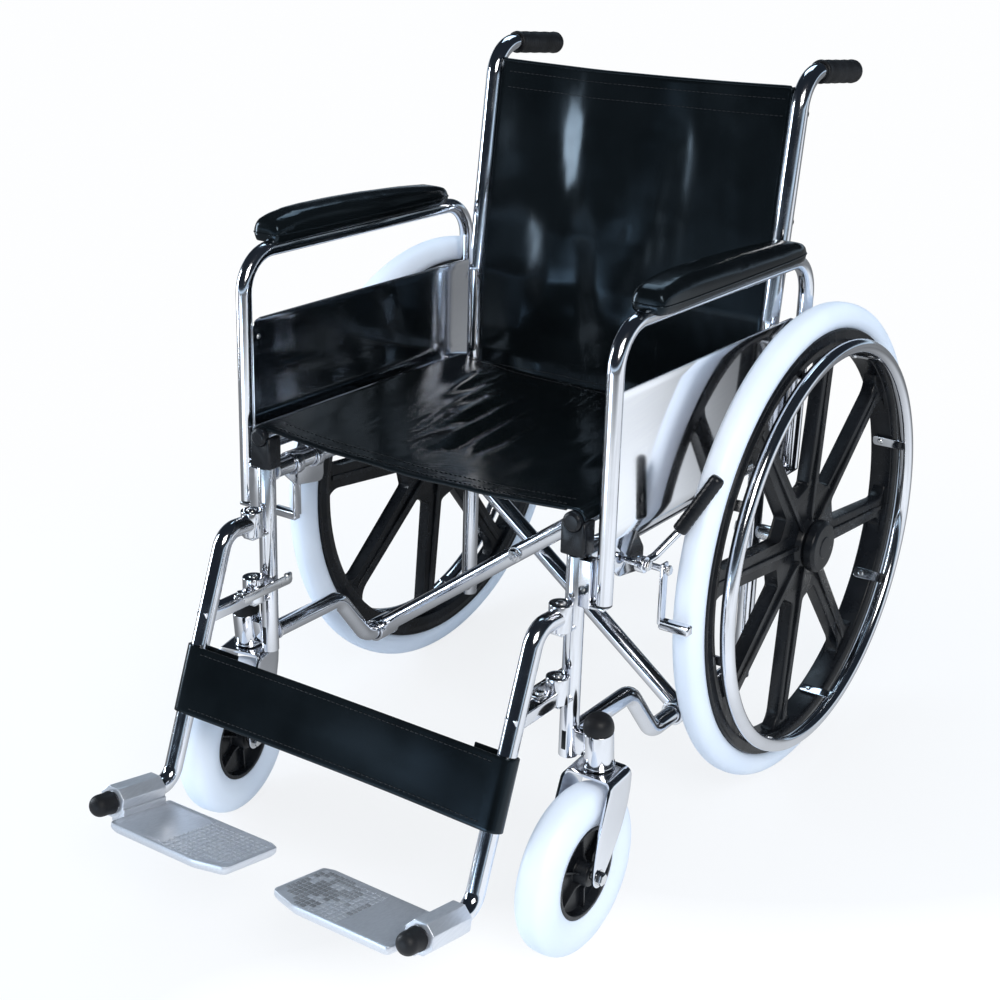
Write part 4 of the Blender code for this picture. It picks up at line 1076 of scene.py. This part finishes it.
def makeHanger():
    x = railX
    line = roundedPath([(x, chair["hingeY"], footrest["hangerTop"]),
                        (x, footrest["bendY"], footrest["hangerTop"] + 0.002),
                        (x, footrest["cornerY"], footrest["cornerZ"]), platePoint(footrest["stub"], 0, 0)],
                       0.026, 22)
    shapes = [sweep(line, tubeRadius)]
    for pin in chair["hingePins"]:
        shapes.append(sleeve(0.0052, 0.0135, 0.01575, (x, chair["hingeY"], pin + 0.02025), (0, 0, 1), 48))
    half = 0.008
    low = (x - half, footrest["strutY"], footrest["strutZ"] - half)
    shapes.append(block(low, (x + half, chair["hingeY"], footrest["strutZ"] + half), 0.0016))
    placePair(joined(*shapes), "FootrestHanger", chrome, "footrest", ["footrest_hanger"])
    caps = [turned([(0, 0.0022), (0.0030, 0.0020), (0.0050, 0.0006), (0.0052, 0)],
                   (x, chair["hingeY"], pin + 0.0360), (0, 0, 1), 32) for pin in chair["hingePins"]]
    placePair(joined(*caps), "HingeCaps", zinc, "footrest")


def makeBumper():
    start = platePoint(0.0965, 0, 0)
    length, straight, radius = 0.0275, 0.0160, 0.0130
    profile = [(0.0119, 0.0), (radius, 0.0), (0.0137, 0.0008), (0.0137, 0.0030), (radius, 0.0042),
               (radius, straight)]
    profile += [(radius * cos(angle) ** 0.8, straight + (length - straight) * sin(angle))
                for angle in arc(*range(10, 90, 10))]
    profile.append((0, length))
    placePair(turned(profile, start, plateAlong, 56), "FootBumper", rubber, "footrest", ["foot_bumper"])


plate = {
    # Corners of the top: along the barrel, inboard, corner radius
    "rim": [(0.0150, 0.0155, 0.003), (0.0128, 0.1760, 0.007), (0.0180, 0.1880, 0.005),
            (0.1030, 0.1885, 0.009), (0.1160, 0.1500, 0.030), (0.1160, 0.0200, 0.006)],
    # From the top's middle over the turned-down edge to the underside: inset, height
    "edge": [(0.0100, -0.0124), (0.0042, -0.0123), (0.0030, -0.0117), (0.0012, -0.0117), (0.0003, -0.0121),
             (0.0, -0.0130), (0.0, -0.0172), (0.0009, -0.0196), (0.0034, -0.0226), (0.0046, -0.0238),
             (0.0062, -0.0238), (0.0068, -0.0230), (0.0072, -0.0166), (0.0080, -0.0160)],
    "middle": Vector((0.0645, 0.1020)),
    "reach": Vector((0.0520, 0.0865)),
    "barrel": (0.0260, 0.0945, 0.0198),
    # The tread's first square, squares along and across, their spacing and half width
    "tread": (0.0245, 0.0960),
    "count": 12,
    "pitch": 0.0076,
    "stud": 0.0027,
}


def makeFootplate():
    outline = roundedLoop(plate["rim"], 8)
    middle, reach = plate["middle"], plate["reach"]
    rings = [[platePoint(middle.x + (point.x - middle.x) * (1 - inset / reach.x),
                         middle.y + (point.y - middle.y) * (1 - inset / reach.y), up) for point in outline]
             for inset, up in plate["edge"]]
    shell = loft(rings)
    bmesh.ops.recalc_face_normals(shell, faces=shell.faces)
    start, end, radius = plate["barrel"]
    octagon = roundedLoop([(x, y, 0.003) for x, y in circle(radius, 8, 0.5)], 4)
    bore = [(x, -y) for x, y in circle(0.0118, 48)]
    across = facePlace(platePoint((start + end) / 2, 0, 0), (-1, 0, 0), plateUp)
    barrel = cutPlate(octagon, end - start, across, [bore], 0.0012)
    cheek = cutPlate(roundedLoop([(0.002, -0.0222, 0.002), (0.0205, -0.0222, 0.003), (0.0205, -0.0030, 0.002),
                                  (0.002, -0.0030, 0.002)], 4), end - start - 0.001, across, edge=0.0008)
    placePair(joined(shell, barrel, cheek), "Footplate", aluminium, "plate", ["footplate"], angle=35)


def stamp(along, inboard, half, height):
    # One square with sloping sides on the tread.
    base = facePlace(platePoint(along, inboard, -0.0125), plateAlong, (1, 0, 0))
    square = bmesh.new()
    corners = ((-1, -1), (1, -1), (1, 1), (-1, 1))
    low = newRing(square, [base @ Vector((x * half, y * half, 0)) for x, y in corners])
    top = newRing(square, [base @ Vector((x * half * 0.8, y * half * 0.8, height)) for x, y in corners])
    bridge(square, low, top)
    square.faces.new(top)
    return square


def makeTread():
    # Fine raised squares on the inboard half of the tread, some of them darkened by soles.
    squares, dark = [], []
    for column in range(plate["count"]):
        for row in range(plate["count"]):
            along = plate["tread"][0] + column * plate["pitch"]
            inboard = plate["tread"][1] + row * plate["pitch"]
            if along + (inboard - 0.150) * 0.55 > 0.108:
                continue
            squares.append(stamp(along, inboard, plate["stud"], 0.0008))
            if noise.noise(Vector((along * 55, inboard * 55, 2.5))) > 0.10 - (inboard - 0.120) * 9:
                dark.append(stamp(along, inboard, plate["stud"] * 1.1, 0.0011))
    placePair(joined(*squares), "PlateTread", aluminium, "plate", angle=20)
    place(joined(*dark), "leftPlateScuffs", grime, "left_plate", angle=20)


makeHanger()
makeBumper()
makeFootplate()
makeTread()
placeRefined("footrest_latch", "FootrestLatch", zinc, 0.0006, "latch")
print("footrests made")


# Brakes

brake = {
    "pivot": Vector((0.257, -0.122, 0.420)),
    # The grip's two ends, from the pivot
    "foot": Vector((0.018, 0.048, 0.029)),
    "top": Vector((0.049, 0.075, 0.092)),
    "nuts": [(0.2632, -0.122, 0.420), (0.2744, -0.094, 0.408)],
}


def makeBrake():
    placeRefined("brake_bracket", "BrakeBracket", chrome, 0.0006)
    placeRefined("brake_shoe", "BrakeShoe", chrome, 0.0006, "shoe")
    pivot = brake["pivot"]
    elbow = [pivot, pivot + Vector((0.004, 0.020, 0.004)), pivot + brake["foot"] * 1.04]
    bar = sweep(roundedPath(elbow, 0.012, 8), 0.0046, 20)
    eye = sleeve(0.0047, 0.0095, 0.005, pivot, (1, 0, 0), 40)
    placePair(joined(bar, eye), "BrakeArm", chrome, "lever")
    grip = brake["top"] - brake["foot"]
    length = grip.length
    profile = [(0, -0.0008), (0.0070, -0.0006), (0.0084, 0.0006), (0.0088, 0.0030)]
    for step in range(1, 25):
        along = 0.0030 + (length - 0.008) * step / 24
        profile.append((0.0086 + 0.0002 * cos(tau * along / 0.0075), along))
    profile += [(0.0082, length - 0.0030), (0.0066, length - 0.0008), (0.0040, length), (0, length + 0.0003)]
    lever = turned(profile, pivot + brake["foot"], grip, 40)
    placePair(lever, "BrakeGrip", plastic, "lever", ["brake_lever"])
    nuts = [hexNut(0.0048, 0.0060, 0.0034, 0.0044, spot, (1, 0, 0), 0.0005) for spot in brake["nuts"]]
    placePair(joined(*nuts), "BrakeNuts", zinc, angle=35)


makeBrake()
print("brakes made")


# Upholstery

def stitchRow(points, lift, length=0.0046, pitch=0.0066, radius=0.00055):
    # Short raised thread ends along a line of points; lift is the way they stand up.
    stitches = []
    travelled = 0.0
    due = 0.0
    for start, end in zip(points, points[1:]):
        run = (end - start).length
        while due < travelled + run and run > 0:
            spot = start.lerp(end, (due - travelled) / run)
            ahead = (end - start).normalized()
            bow = ((-0.5, 0.0), (-0.3, 0.7), (0.0, 1.0), (0.3, 0.7), (0.5, 0.0))
            line = [spot + ahead * length * share + Vector(lift) * radius * rise for share, rise in bow]
            stitches.append(sweep(line, radius, 6, [0.45, 0.95, 1.0, 0.95, 0.45]))
            due += pitch
        travelled += run
    return stitches


def stitched(line, lift, name, body):
    return place(joined(*stitchRow(line, lift)), name, thread, body)


def hemmed(rows, thickness, edge=0.0009):
    # A sheet of cloth of this thickness, its rims rounded.
    sheet = worked(grid(rows), ("SOLIDIFY", {"thickness": thickness, "offset": 0.0}), bevelled(edge, 60))
    bmesh.ops.recalc_face_normals(sheet, faces=sheet.faces)
    return sheet


def ridge(x, middle, half, valley, spacing):
    # A fold across x: a crest and a shallower valley beside it.
    crest = exp(-((x - middle) / half) ** 2)
    return crest - valley * exp(-((x - middle - half * spacing) / half) ** 2)


def window(value, low, high, soft):
    return max(0.0, min(1.0, (value - low) / soft)) * max(0.0, min(1.0, (high - value) / soft))


seat = {
    "sag": 0.009,
    "lip": 0.001,
    "thickness": 0.0030,
    "flat": (0.492, 0.421),
    # Folds that run front to back: x, front y, rear y, half width, height
    "folds": [(-0.150, 0.030, 0.200, 0.013, 0.0052), (-0.118, 0.000, 0.180, 0.012, 0.0044),
              (-0.084, -0.060, 0.140, 0.013, 0.0060), (-0.046, -0.130, 0.110, 0.013, 0.0064),
              (-0.012, -0.110, 0.080, 0.012, 0.0050), (0.028, -0.100, 0.060, 0.012, 0.0030),
              (0.100, -0.165, -0.030, 0.015, 0.0034), (0.140, -0.120, 0.080, 0.013, 0.0014)],
}


def seatHeight(x, y):
    depth = (y - chair["seatFront"]) / (chair["seatRear"] - chair["seatFront"])
    share = x / railX
    slack = max(0.0, 1 - (x / 0.195) ** 2)
    z = chair["seatZ"] + tubeRadius + 0.0020 - seat["sag"] * (1 - share ** 2)
    z -= slack * 0.004 * sin(pi * depth)
    z -= slack * seat["lip"] * (1 - min(1.0, depth * 5)) ** 2
    for foldX, front, rear, half, height in seat["folds"]:
        middle = foldX - 0.12 * (y - (front + rear) / 2)
        z += slack ** 0.5 * height * ridge(x, middle, half, 0.55, 1.6) * window(y, front, rear, 0.055)
    gathered = window(x - 0.12 * y, -0.19, 0.05, 0.06) * window(y, -0.15, 0.20, 0.06)
    z += slack * 0.0016 * gathered * noise.noise(Vector(((x + 0.12 * y) * 95, y * 9, 7)))
    spot = Vector((x * 16, y * 6, 0.3))
    z += slack * 0.0011 * noise.noise(spot) + slack * 0.0005 * noise.noise(Vector((x * 60, y * 22, 4)))
    return z


def mirrored(point):
    return Vector((-point.x, point.y, point.z))


def seatPoint(x, y, lift=0.0):
    return Vector((x, y, seatHeight(x, y) + lift))


def makeSeat():
    lift = tubeRadius + 0.0020
    bend = arc(6, 16, 27, 38, 49, 60, 71, 82)
    across = [railX * (1 - step / 96) for step in range(1, 97)]
    rows = []
    for y in spread(chair["seatFront"] + 0.004, chair["seatRear"] - 0.004, 96):
        wrap = [Vector((railX + lift * cos(angle), y, chair["seatZ"] + lift * sin(angle)))
                for angle in bend]
        half = wrap + [seatPoint(x, y) for x in across]
        other = [mirrored(point) for point in wrap] + [seatPoint(-x, y) for x in across[:-1]]
        rows.append(half + other[::-1])
    cover = place(hemmed(rows, seat["thickness"]), "SeatCover", vinyl, None, ["seat_sling"], angle=60)
    trims = []
    front, rear = chair["seatFront"], chair["seatRear"]
    for y, name in ((front + 0.012, "SeatHemStitch"), (front + 0.030, "SeatFrontSeam"),
                    (rear - 0.016, "SeatRearStitch")):
        line = [seatPoint(x, y, 0.0014) for x in spread(0.205, -0.205, 91)]
        trims.append(stitched(line, (0, 0, 1), name, None))
    line = [seatPoint(x, front + 0.0045, -0.0004) for x in spread(0.212, -0.212, 91)]
    trims.append(place(sweep(line, 0.0026, 14), "SeatHemRoll", vinyl, None))
    for piece in [cover, *trims]:
        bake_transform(piece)


back = {
    "hem": 0.478,
    "top": 0.8985,
    "droop": 0.005,
    "thickness": 0.0030,
    "sleeve": 0.0034,
    "flat": (0.432, 0.414),
    "screws": (0.500, 0.612, 0.740, 0.868),
    # Upright folds: top x, bottom x, bottom z, top z, half width, height
    "folds": [(-0.184, -0.170, 0.690, 0.905, 0.032, 0.0068), (-0.135, -0.100, 0.500, 0.790, 0.026, 0.0062),
              (-0.160, -0.172, 0.450, 0.640, 0.036, 0.0100), (-0.060, -0.078, 0.590, 0.925, 0.040, 0.0098),
              (-0.030, -0.046, 0.540, 0.760, 0.020, 0.0034), (0.010, -0.022, 0.620, 0.915, 0.030, 0.0078),
              (0.000, -0.016, 0.480, 0.660, 0.028, 0.0050), (0.050, 0.044, 0.640, 0.850, 0.018, 0.0030),
              (0.086, 0.080, 0.650, 0.860, 0.018, 0.0026), (0.118, 0.114, 0.640, 0.850, 0.018, 0.0028),
              (0.150, 0.155, 0.630, 0.870, 0.020, 0.0030), (0.184, 0.188, 0.620, 0.880, 0.017, 0.0026)],
}


def postLine(z):
    return backY + max(0.0, z - handle["bendZ"]) * backSlope


def backDepth(x, z):
    share = x / railX
    slack = max(0.0, 1 - (x / 0.207) ** 2)
    y = postLine(z) - 0.0010 + 0.0070 * (1 - share ** 2)
    for topX, bottomX, bottom, top, half, height in back["folds"]:
        rise = (z - bottom) / (top - bottom)
        foldX = bottomX + (topX - bottomX) * rise + 0.006 * sin(pi * rise)
        y -= slack ** 0.4 * height * ridge(x, foldX, half, 0.7, 1.7) * window(z, bottom, top, 0.095)
    y -= slack * 0.0013 * noise.noise(Vector((x * 20, 1.7, z * 5)))
    y -= slack * 0.0004 * noise.noise(Vector((x * 70, 5.1, z * 26)))
    return y


def backPoint(x, z):
    rise = (z - back["hem"]) / (back["top"] - back["hem"])
    sag = back["droop"] * max(0.0, 1 - ((x + 0.03) / 0.23) ** 2) * rise ** 2
    return Vector((x, backDepth(x, z), z - sag))


def makeBack():
    lift = tubeRadius + 0.0022
    bend = arc(205, 190, 175, 160, 145, 130, 117, 104, 92)
    across = [0.945 * (1 - step / 56) for step in range(57)]
    rows = []
    for z in spread(back["hem"], back["top"], 78):
        y = postLine(z)
        wrap = [Vector((railX - lift * sin(angle), y - lift * cos(angle), z))
                for angle in bend]
        half = wrap + [backPoint(railX * share, z) for share in across]
        other = [mirrored(point) for point in wrap]
        other += [backPoint(-railX * share, z) for share in across[:-1]]
        rows.append(half + other[::-1])
    turns = len(bend)
    panel = hemmed([row[turns:-turns] for row in rows], back["thickness"])
    cover = place(panel, "BackCover", vinyl, "left_frame", ["back_sling"], angle=60)
    for side, part in (("left", slice(0, turns + 2)), ("right", slice(-turns - 2, None))):
        wrapped = hemmed([row[part] for row in rows], back["sleeve"])
        place(wrapped, f"{side}BackSleeve", vinyl, f"{side}_frame", angle=60)
    trims = []
    for z, name in ((back["top"] - 0.014, "BackHemStitch"), (back["top"] - 0.034, "BackHemSeam"),
                    (back["hem"] + 0.014, "BackFootStitch")):
        for face, out in (("Front", -1), ("Rear", 1)):
            line = [backPoint(x, z) + Vector((0, out * 0.0014, 0)) for x in spread(0.200, -0.200, 91)]
            trims.append(stitched(line, (0, out, 0), name + face, "left_frame"))
    line = [backPoint(x, back["top"] - 0.0005) for x in spread(0.208, -0.208, 91)]
    trims.append(place(sweep(line, 0.0025, 14), "BackHemRoll", vinyl, "left_frame"))
    head = [(0, 0.0026), (0.0030, 0.0024), (0.0050, 0.0008), (0.0064, 0.0006), (0.0066, 0)]
    screws = [turnedSoft(head, 0.0006, (railX, postLine(z) + lift + 0.0014, z), (0, 1, 0), 28, 2)
              for z in back["screws"]]
    placePair(joined(*screws), "BackScrews", zinc)
    for piece in [cover, *trims]:
        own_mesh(piece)


strap = {
    # Its upper and lower edge, as shares of the hanger's slope
    "shares": (0.448, 0.712),
    "thickness": 0.0024,
    "slack": 0.006,
    "flat": (0.660, 0.0818),
}


def makeCalfStrap():
    top = Vector((0, footrest["bendY"], footrest["hangerTop"] + 0.002))
    low = Vector((0, footrest["cornerY"], footrest["cornerZ"]))
    down = (low - top).normalized()
    front = Vector((0, down.z, -down.y))
    lift = tubeRadius + 0.0020
    x = railX
    upper, lower = strap["shares"]
    path = [(x - 0.050 + 0.010 * step, -lift) for step in range(5)]
    path += [(x + lift * cos(angle), lift * sin(angle)) for angle in arc(*range(-90, 91, 10))]
    path += [(x * share, lift - strap["slack"] * (1 - share ** 2)) for share in spread(0.95, 0.05, 19)]
    path += [(0.0, lift - strap["slack"])]
    path += [(-across, out) for across, out in reversed(path[:-1])]
    rows = []
    for share in spread(upper, lower, 22):
        centre = top.lerp(low, share)
        row = []
        for across, out in path:
            flat = max(0.0, 1 - (across / 0.19) ** 2) if out > 0 else 0.0
            wave = flat * (0.0015 * noise.noise(Vector((across * 9, share * 5, 2))) +
                           0.0012 * cos(pi * (share - upper) / (lower - upper)))
            row.append(centre + Vector((across, 0, 0)) + front * (out + wave))
        rows.append(row)
    band = hemmed(rows, strap["thickness"], 0.0008)
    cover = place(band, "CalfStrap", vinyl, "left_footrest", ["calf_strap"], angle=60)
    trims = []
    for row, name in ((rows[2], "StrapUpperStitch"), (rows[-3], "StrapLowerStitch")):
        line = [point + front * 0.0012 for point in row[24:-24]]
        trims.append(stitched(line, front, name, "left_footrest"))
    for piece in [cover, *trims]:
        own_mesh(piece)


pad = {
    "x": 0.262,
    "base": armrest["top"] + armrest["tube"] - 0.0035,
    # Distance from front to rear, half width, height
    "stations": [(-0.1550, 0.0160, 0.0200), (-0.1530, 0.0200, 0.0252), (-0.1450, 0.0226, 0.0298),
                 (-0.1280, 0.0238, 0.0334), (-0.1060, 0.0244, 0.0362), (-0.0800, 0.0246, 0.0374),
                 (-0.0300, 0.0247, 0.0372), (0.0300, 0.0246, 0.0352), (0.0900, 0.0243, 0.0322),
                 (0.1400, 0.0238, 0.0290), (0.1720, 0.0226, 0.0262), (0.1880, 0.0196, 0.0226),
                 (0.1965, 0.0130, 0.0160)],
    "voxel": 0.0042,
    "pressure": 4.0,
    "stiffness": 40,
    "frames": 20,
    "travel": 0.0016,
    "seam": 0.0105,
}


def padCage():
    # The pad before it is stuffed, a little slimmer than the finished one.
    rings = []
    for along, half, height in pad["stations"]:
        half, height = half * 0.96, height * 0.97
        corners = [(half * 0.94, 0, 0.0025), (half, height * 0.55, height * 0.3),
                   (half * 0.80, height, height * 0.36)]
        section = roundedLoop(corners + [(-x, z, soft) for x, z, soft in reversed(corners)], 3)
        rings.append([(pad["x"] + point.x, along, pad["base"] + point.y) for point in section])
    bm = loft(rings)
    bmesh.ops.recalc_face_normals(bm, faces=bm.faces)
    return bm


def stuffed(bm):
    # Swells the pad with cloth under pressure, held where it lies on the tube.
    start = worked(bm, ("REMESH", {"mode": "VOXEL", "voxel_size": pad["voxel"]}))
    mesh = bpy.data.meshes.new("padCloth")
    start.to_mesh(mesh)
    start.free()
    holder = newObject("padCloth", mesh)
    held = holder.vertex_groups.new(name="held")
    held.add([v.index for v in mesh.vertices if v.co.z < pad["base"] + 0.0030], 1.0, "REPLACE")
    rest = [v.co.copy() for v in mesh.vertices]
    cloth = holder.modifiers.new("stuffing", "CLOTH")
    cloth.settings.use_pressure = True
    cloth.settings.uniform_pressure_force = pad["pressure"]
    cloth.settings.effector_weights.gravity = 0.0
    cloth.settings.vertex_group_mass = "held"
    cloth.settings.tension_stiffness = pad["stiffness"]
    cloth.settings.compression_stiffness = pad["stiffness"]
    scene = bpy.context.scene
    for step in range(1, pad["frames"] + 1):
        scene.frame_set(step)
    graph = bpy.context.evaluated_depsgraph_get()
    swollen = bpy.data.meshes.new_from_object(holder.evaluated_get(graph))
    scene.frame_set(1)
    result = bmesh.new()
    result.from_mesh(swollen)
    result.verts.ensure_lookup_table()
    for vert, origin in zip(result.verts, rest):
        move = vert.co - origin
        if move.length > pad["travel"]:
            vert.co = origin + move.normalized() * pad["travel"]
        vert.co.z = max(vert.co.z, pad["base"])
    bpy.data.objects.remove(holder, do_unlink=True)
    return worked(result, ("SUBSURF", {"levels": 1}))


def makeArmPad():
    cushion = stuffed(padCage())
    tree = BVHTree.FromBMesh(cushion)
    middle = Vector((pad["x"], 0.026, pad["base"] + pad["seam"]))
    outline = []
    for angle in spread(0, tau, 121):
        direction = Vector((cos(angle), sin(angle) * 6, 0)).normalized()
        outline.append(tree.ray_cast(middle + direction * 0.4, -direction)[0])
    piping = sweep(outline, 0.0011, 8, [1.0] * len(outline))
    pieces = placePair(cushion, "ArmPad", vinyl, "armrest", ["arm_pad"], angle=60)
    placePair(piping, "ArmPadPiping", vinyl, "armrest", angle=60)
    board = roundedBox(pad["x"] - 0.0180, -0.128, pad["x"] + 0.0180, 0.180, 0.012)
    base = cutPlate(board, 0.003, Matrix.Translation((0, 0, pad["base"] + 0.0015)))
    placePair(base, "ArmPadBoard", plastic, "armrest")


makeSeat()
print("seat cover made")
makeBack()
print("back cover made")
makeCalfStrap()
print("calf strap made")
makeArmPad()
print("arm pads made")


# Floor, lights and camera

studio = {
    "floorColour": (0.74, 0.76, 0.79),
    "white": (0.985, 0.992, 1.0),
    "worldColour": (0.74, 0.87, 1.0),
    "worldLight": 1.0,
    "horizon": (0.66, 0.83, 1.0),
    # Tint of the floor's painted pool of light, seen only in reflections
    "paintedPool": (0.92, 0.96, 1.0),
    "overhead": (0.016, 0.021, 0.029),
    "keyPower": 61.0,
    "stripPower": 31.0,
    "topPower": 12.0,
    "lowPower": 5.0,
    "front": Vector((0.80, -0.60)),
}


def lightPath(tree, *names):
    # 1 where the ray is any of these kinds.
    path = tree.nodes.new("ShaderNodeLightPath")
    total = path.outputs[names[0]]
    for name in names[1:]:
        total = mathNode(tree, "MAXIMUM", total, path.outputs[name])
    return total


def makeFloor():
    # White to the eye but for the chair's shadow. Reflections see it glow as a painted pool of light, bright
    # in front and darker behind, broken up by noise.
    material = bpy.data.materials.new("studioFloor")
    material.use_nodes = True
    tree = material.node_tree
    shader = tree.nodes["Principled BSDF"]
    shader.inputs["Base Color"].default_value = (*studio["floorColour"], 1)
    shader.inputs["Roughness"].default_value = 0.9
    shader.inputs["Specular IOR Level"].default_value = 0.0
    glow = tree.nodes.new("ShaderNodeEmission")
    tint = mixColour(tree, lightPath(tree, "Is Glossy Ray"), studio["white"], studio["paintedPool"])
    tree.links.new(tint, glow.inputs["Color"])
    spot = splitAxes(tree, source(tree, "TexCoord", "Object"))
    squares = mathNode(tree, "ADD", mathNode(tree, "MULTIPLY", spot[0], spot[0]),
                       mathNode(tree, "MULTIPLY", spot[1], spot[1]))
    radius = mathNode(tree, "SQRT", squares, 0.0)
    seen = lightPath(tree, "Is Camera Ray", "Is Transmission Ray")
    eye = mathNode(tree, "MULTIPLY", seen, rangeNode(tree, radius, 0.45, 1.5, 0.80, 1.0))
    ahead = mathNode(tree, "ADD", mathNode(tree, "MULTIPLY", spot[0], studio["front"].x),
                     mathNode(tree, "MULTIPLY", spot[1], studio["front"].y))
    # Painted pool of light: the floor's glow for reflections, strongest in front of the chair and fading
    # behind it and far ahead
    paintedPool = mathNode(tree, "MULTIPLY", rangeNode(tree, ahead, -0.30, 0.50, 0.27, 1.18),
                    rangeNode(tree, ahead, 2.2, 3.6, 1.0, 0.15))
    broken = rangeNode(tree, noiseNode(tree, 1.1, 1.0), 0.35, 0.62, 0.80, 1.0)
    metal = mathNode(tree, "MULTIPLY", paintedPool, broken)
    tree.links.new(mathNode(tree, "MAXIMUM", seen, metal), glow.inputs["Strength"])
    mix = tree.nodes.new("ShaderNodeMixShader")
    tree.links.new(mathNode(tree, "MAXIMUM", eye, lightPath(tree, "Is Glossy Ray")), mix.inputs["Fac"])
    tree.links.new(shader.outputs[0], mix.inputs[1])
    tree.links.new(glow.outputs[0], mix.inputs[2])
    tree.links.new(mix.outputs[0], tree.nodes["Material Output"].inputs["Surface"])
    bpy.ops.mesh.primitive_plane_add(size=40, location=(0, 0, 0))
    floor = bpy.context.object
    floor.name = "studioFloor"
    floor.data.materials.append(material)


def makeWorld():
    # White to the eye. Metal sees it pale at the horizon and dark overhead.
    world = bpy.data.worlds.new("studio")
    world.use_nodes = True
    bpy.context.scene.world = world
    tree = world.node_tree
    background = tree.nodes["Background"]
    spot = splitAxes(tree, source(tree, "TexCoord", "Generated"))
    high = rangeNode(tree, spot["Z"], 0.0, 0.11, 0.0, 1.0)
    room = mixColour(tree, high, studio["horizon"], studio["overhead"])
    metal = mixColour(tree, lightPath(tree, "Is Diffuse Ray"), room, studio["worldColour"])
    eye = mixColour(tree, lightPath(tree, "Is Camera Ray", "Is Transmission Ray"), metal, studio["white"])
    tree.links.new(eye, background.inputs["Color"])
    lit = rangeNode(tree, lightPath(tree, "Is Diffuse Ray"), 0.0, 1.0, 1.0, studio["worldLight"])
    tree.links.new(lit, background.inputs["Strength"])


def areaLight(name, spot, target, size, power, colour):
    data = bpy.data.lights.new(name, "AREA")
    data.shape = "RECTANGLE"
    data.size, data.size_y = size
    data.energy = power
    data.color = colour
    lamp = newObject(name, data)
    lamp.location = spot
    lamp.rotation_euler = (Vector(target) - Vector(spot)).to_track_quat("-Z", "Y").to_euler()


view = {
    "place": Vector((1.1223, -1.5883, 1.2995)),
    # Azimuth, elevation and roll
    "angles": arc(35.5923, 25.2101, -1.9444),
    "lens": 62.494,
}


def makeCamera():
    a, e, r = view["angles"]
    away = Vector((sin(a) * cos(e), -cos(a) * cos(e), sin(e)))
    right = Vector((cos(a), sin(a), 0))
    up = away.cross(right)
    rolledRight = right * cos(r) + up * sin(r)
    rolledUp = up * cos(r) - right * sin(r)
    data = bpy.data.cameras.new("camera")
    data.sensor_width = 36
    data.lens = view["lens"]
    camera = newObject("camera", data)
    turn = Matrix((rolledRight, rolledUp, away)).transposed().to_4x4()
    camera.matrix_world = Matrix.Translation(view["place"]) @ turn
    bpy.context.scene.camera = camera


makeFloor()
makeWorld()
areaLight("key", (2.2, -1.7, 2.5), (0, 0, 0.45), (1.5, 1.5), studio["keyPower"], (1.0, 0.975, 0.94))
areaLight("strip", (-2.1, -0.9, 0.85), (0, 0, 0.60), (0.5, 1.4), studio["stripPower"], (0.82, 0.91, 1.0))
areaLight("top", (-0.65, 1.45, 2.45), (0, 0, 0.5), (1.4, 1.0), studio["topPower"], (0.62, 0.82, 1.0))
areaLight("low", (-0.35, -1.9, 0.24), (0, 0.25, 0.7), (0.9, 0.36), studio["lowPower"], (0.60, 0.79, 1.0))
makeCamera()
bpy.context.scene.view_settings.view_transform = "Standard"
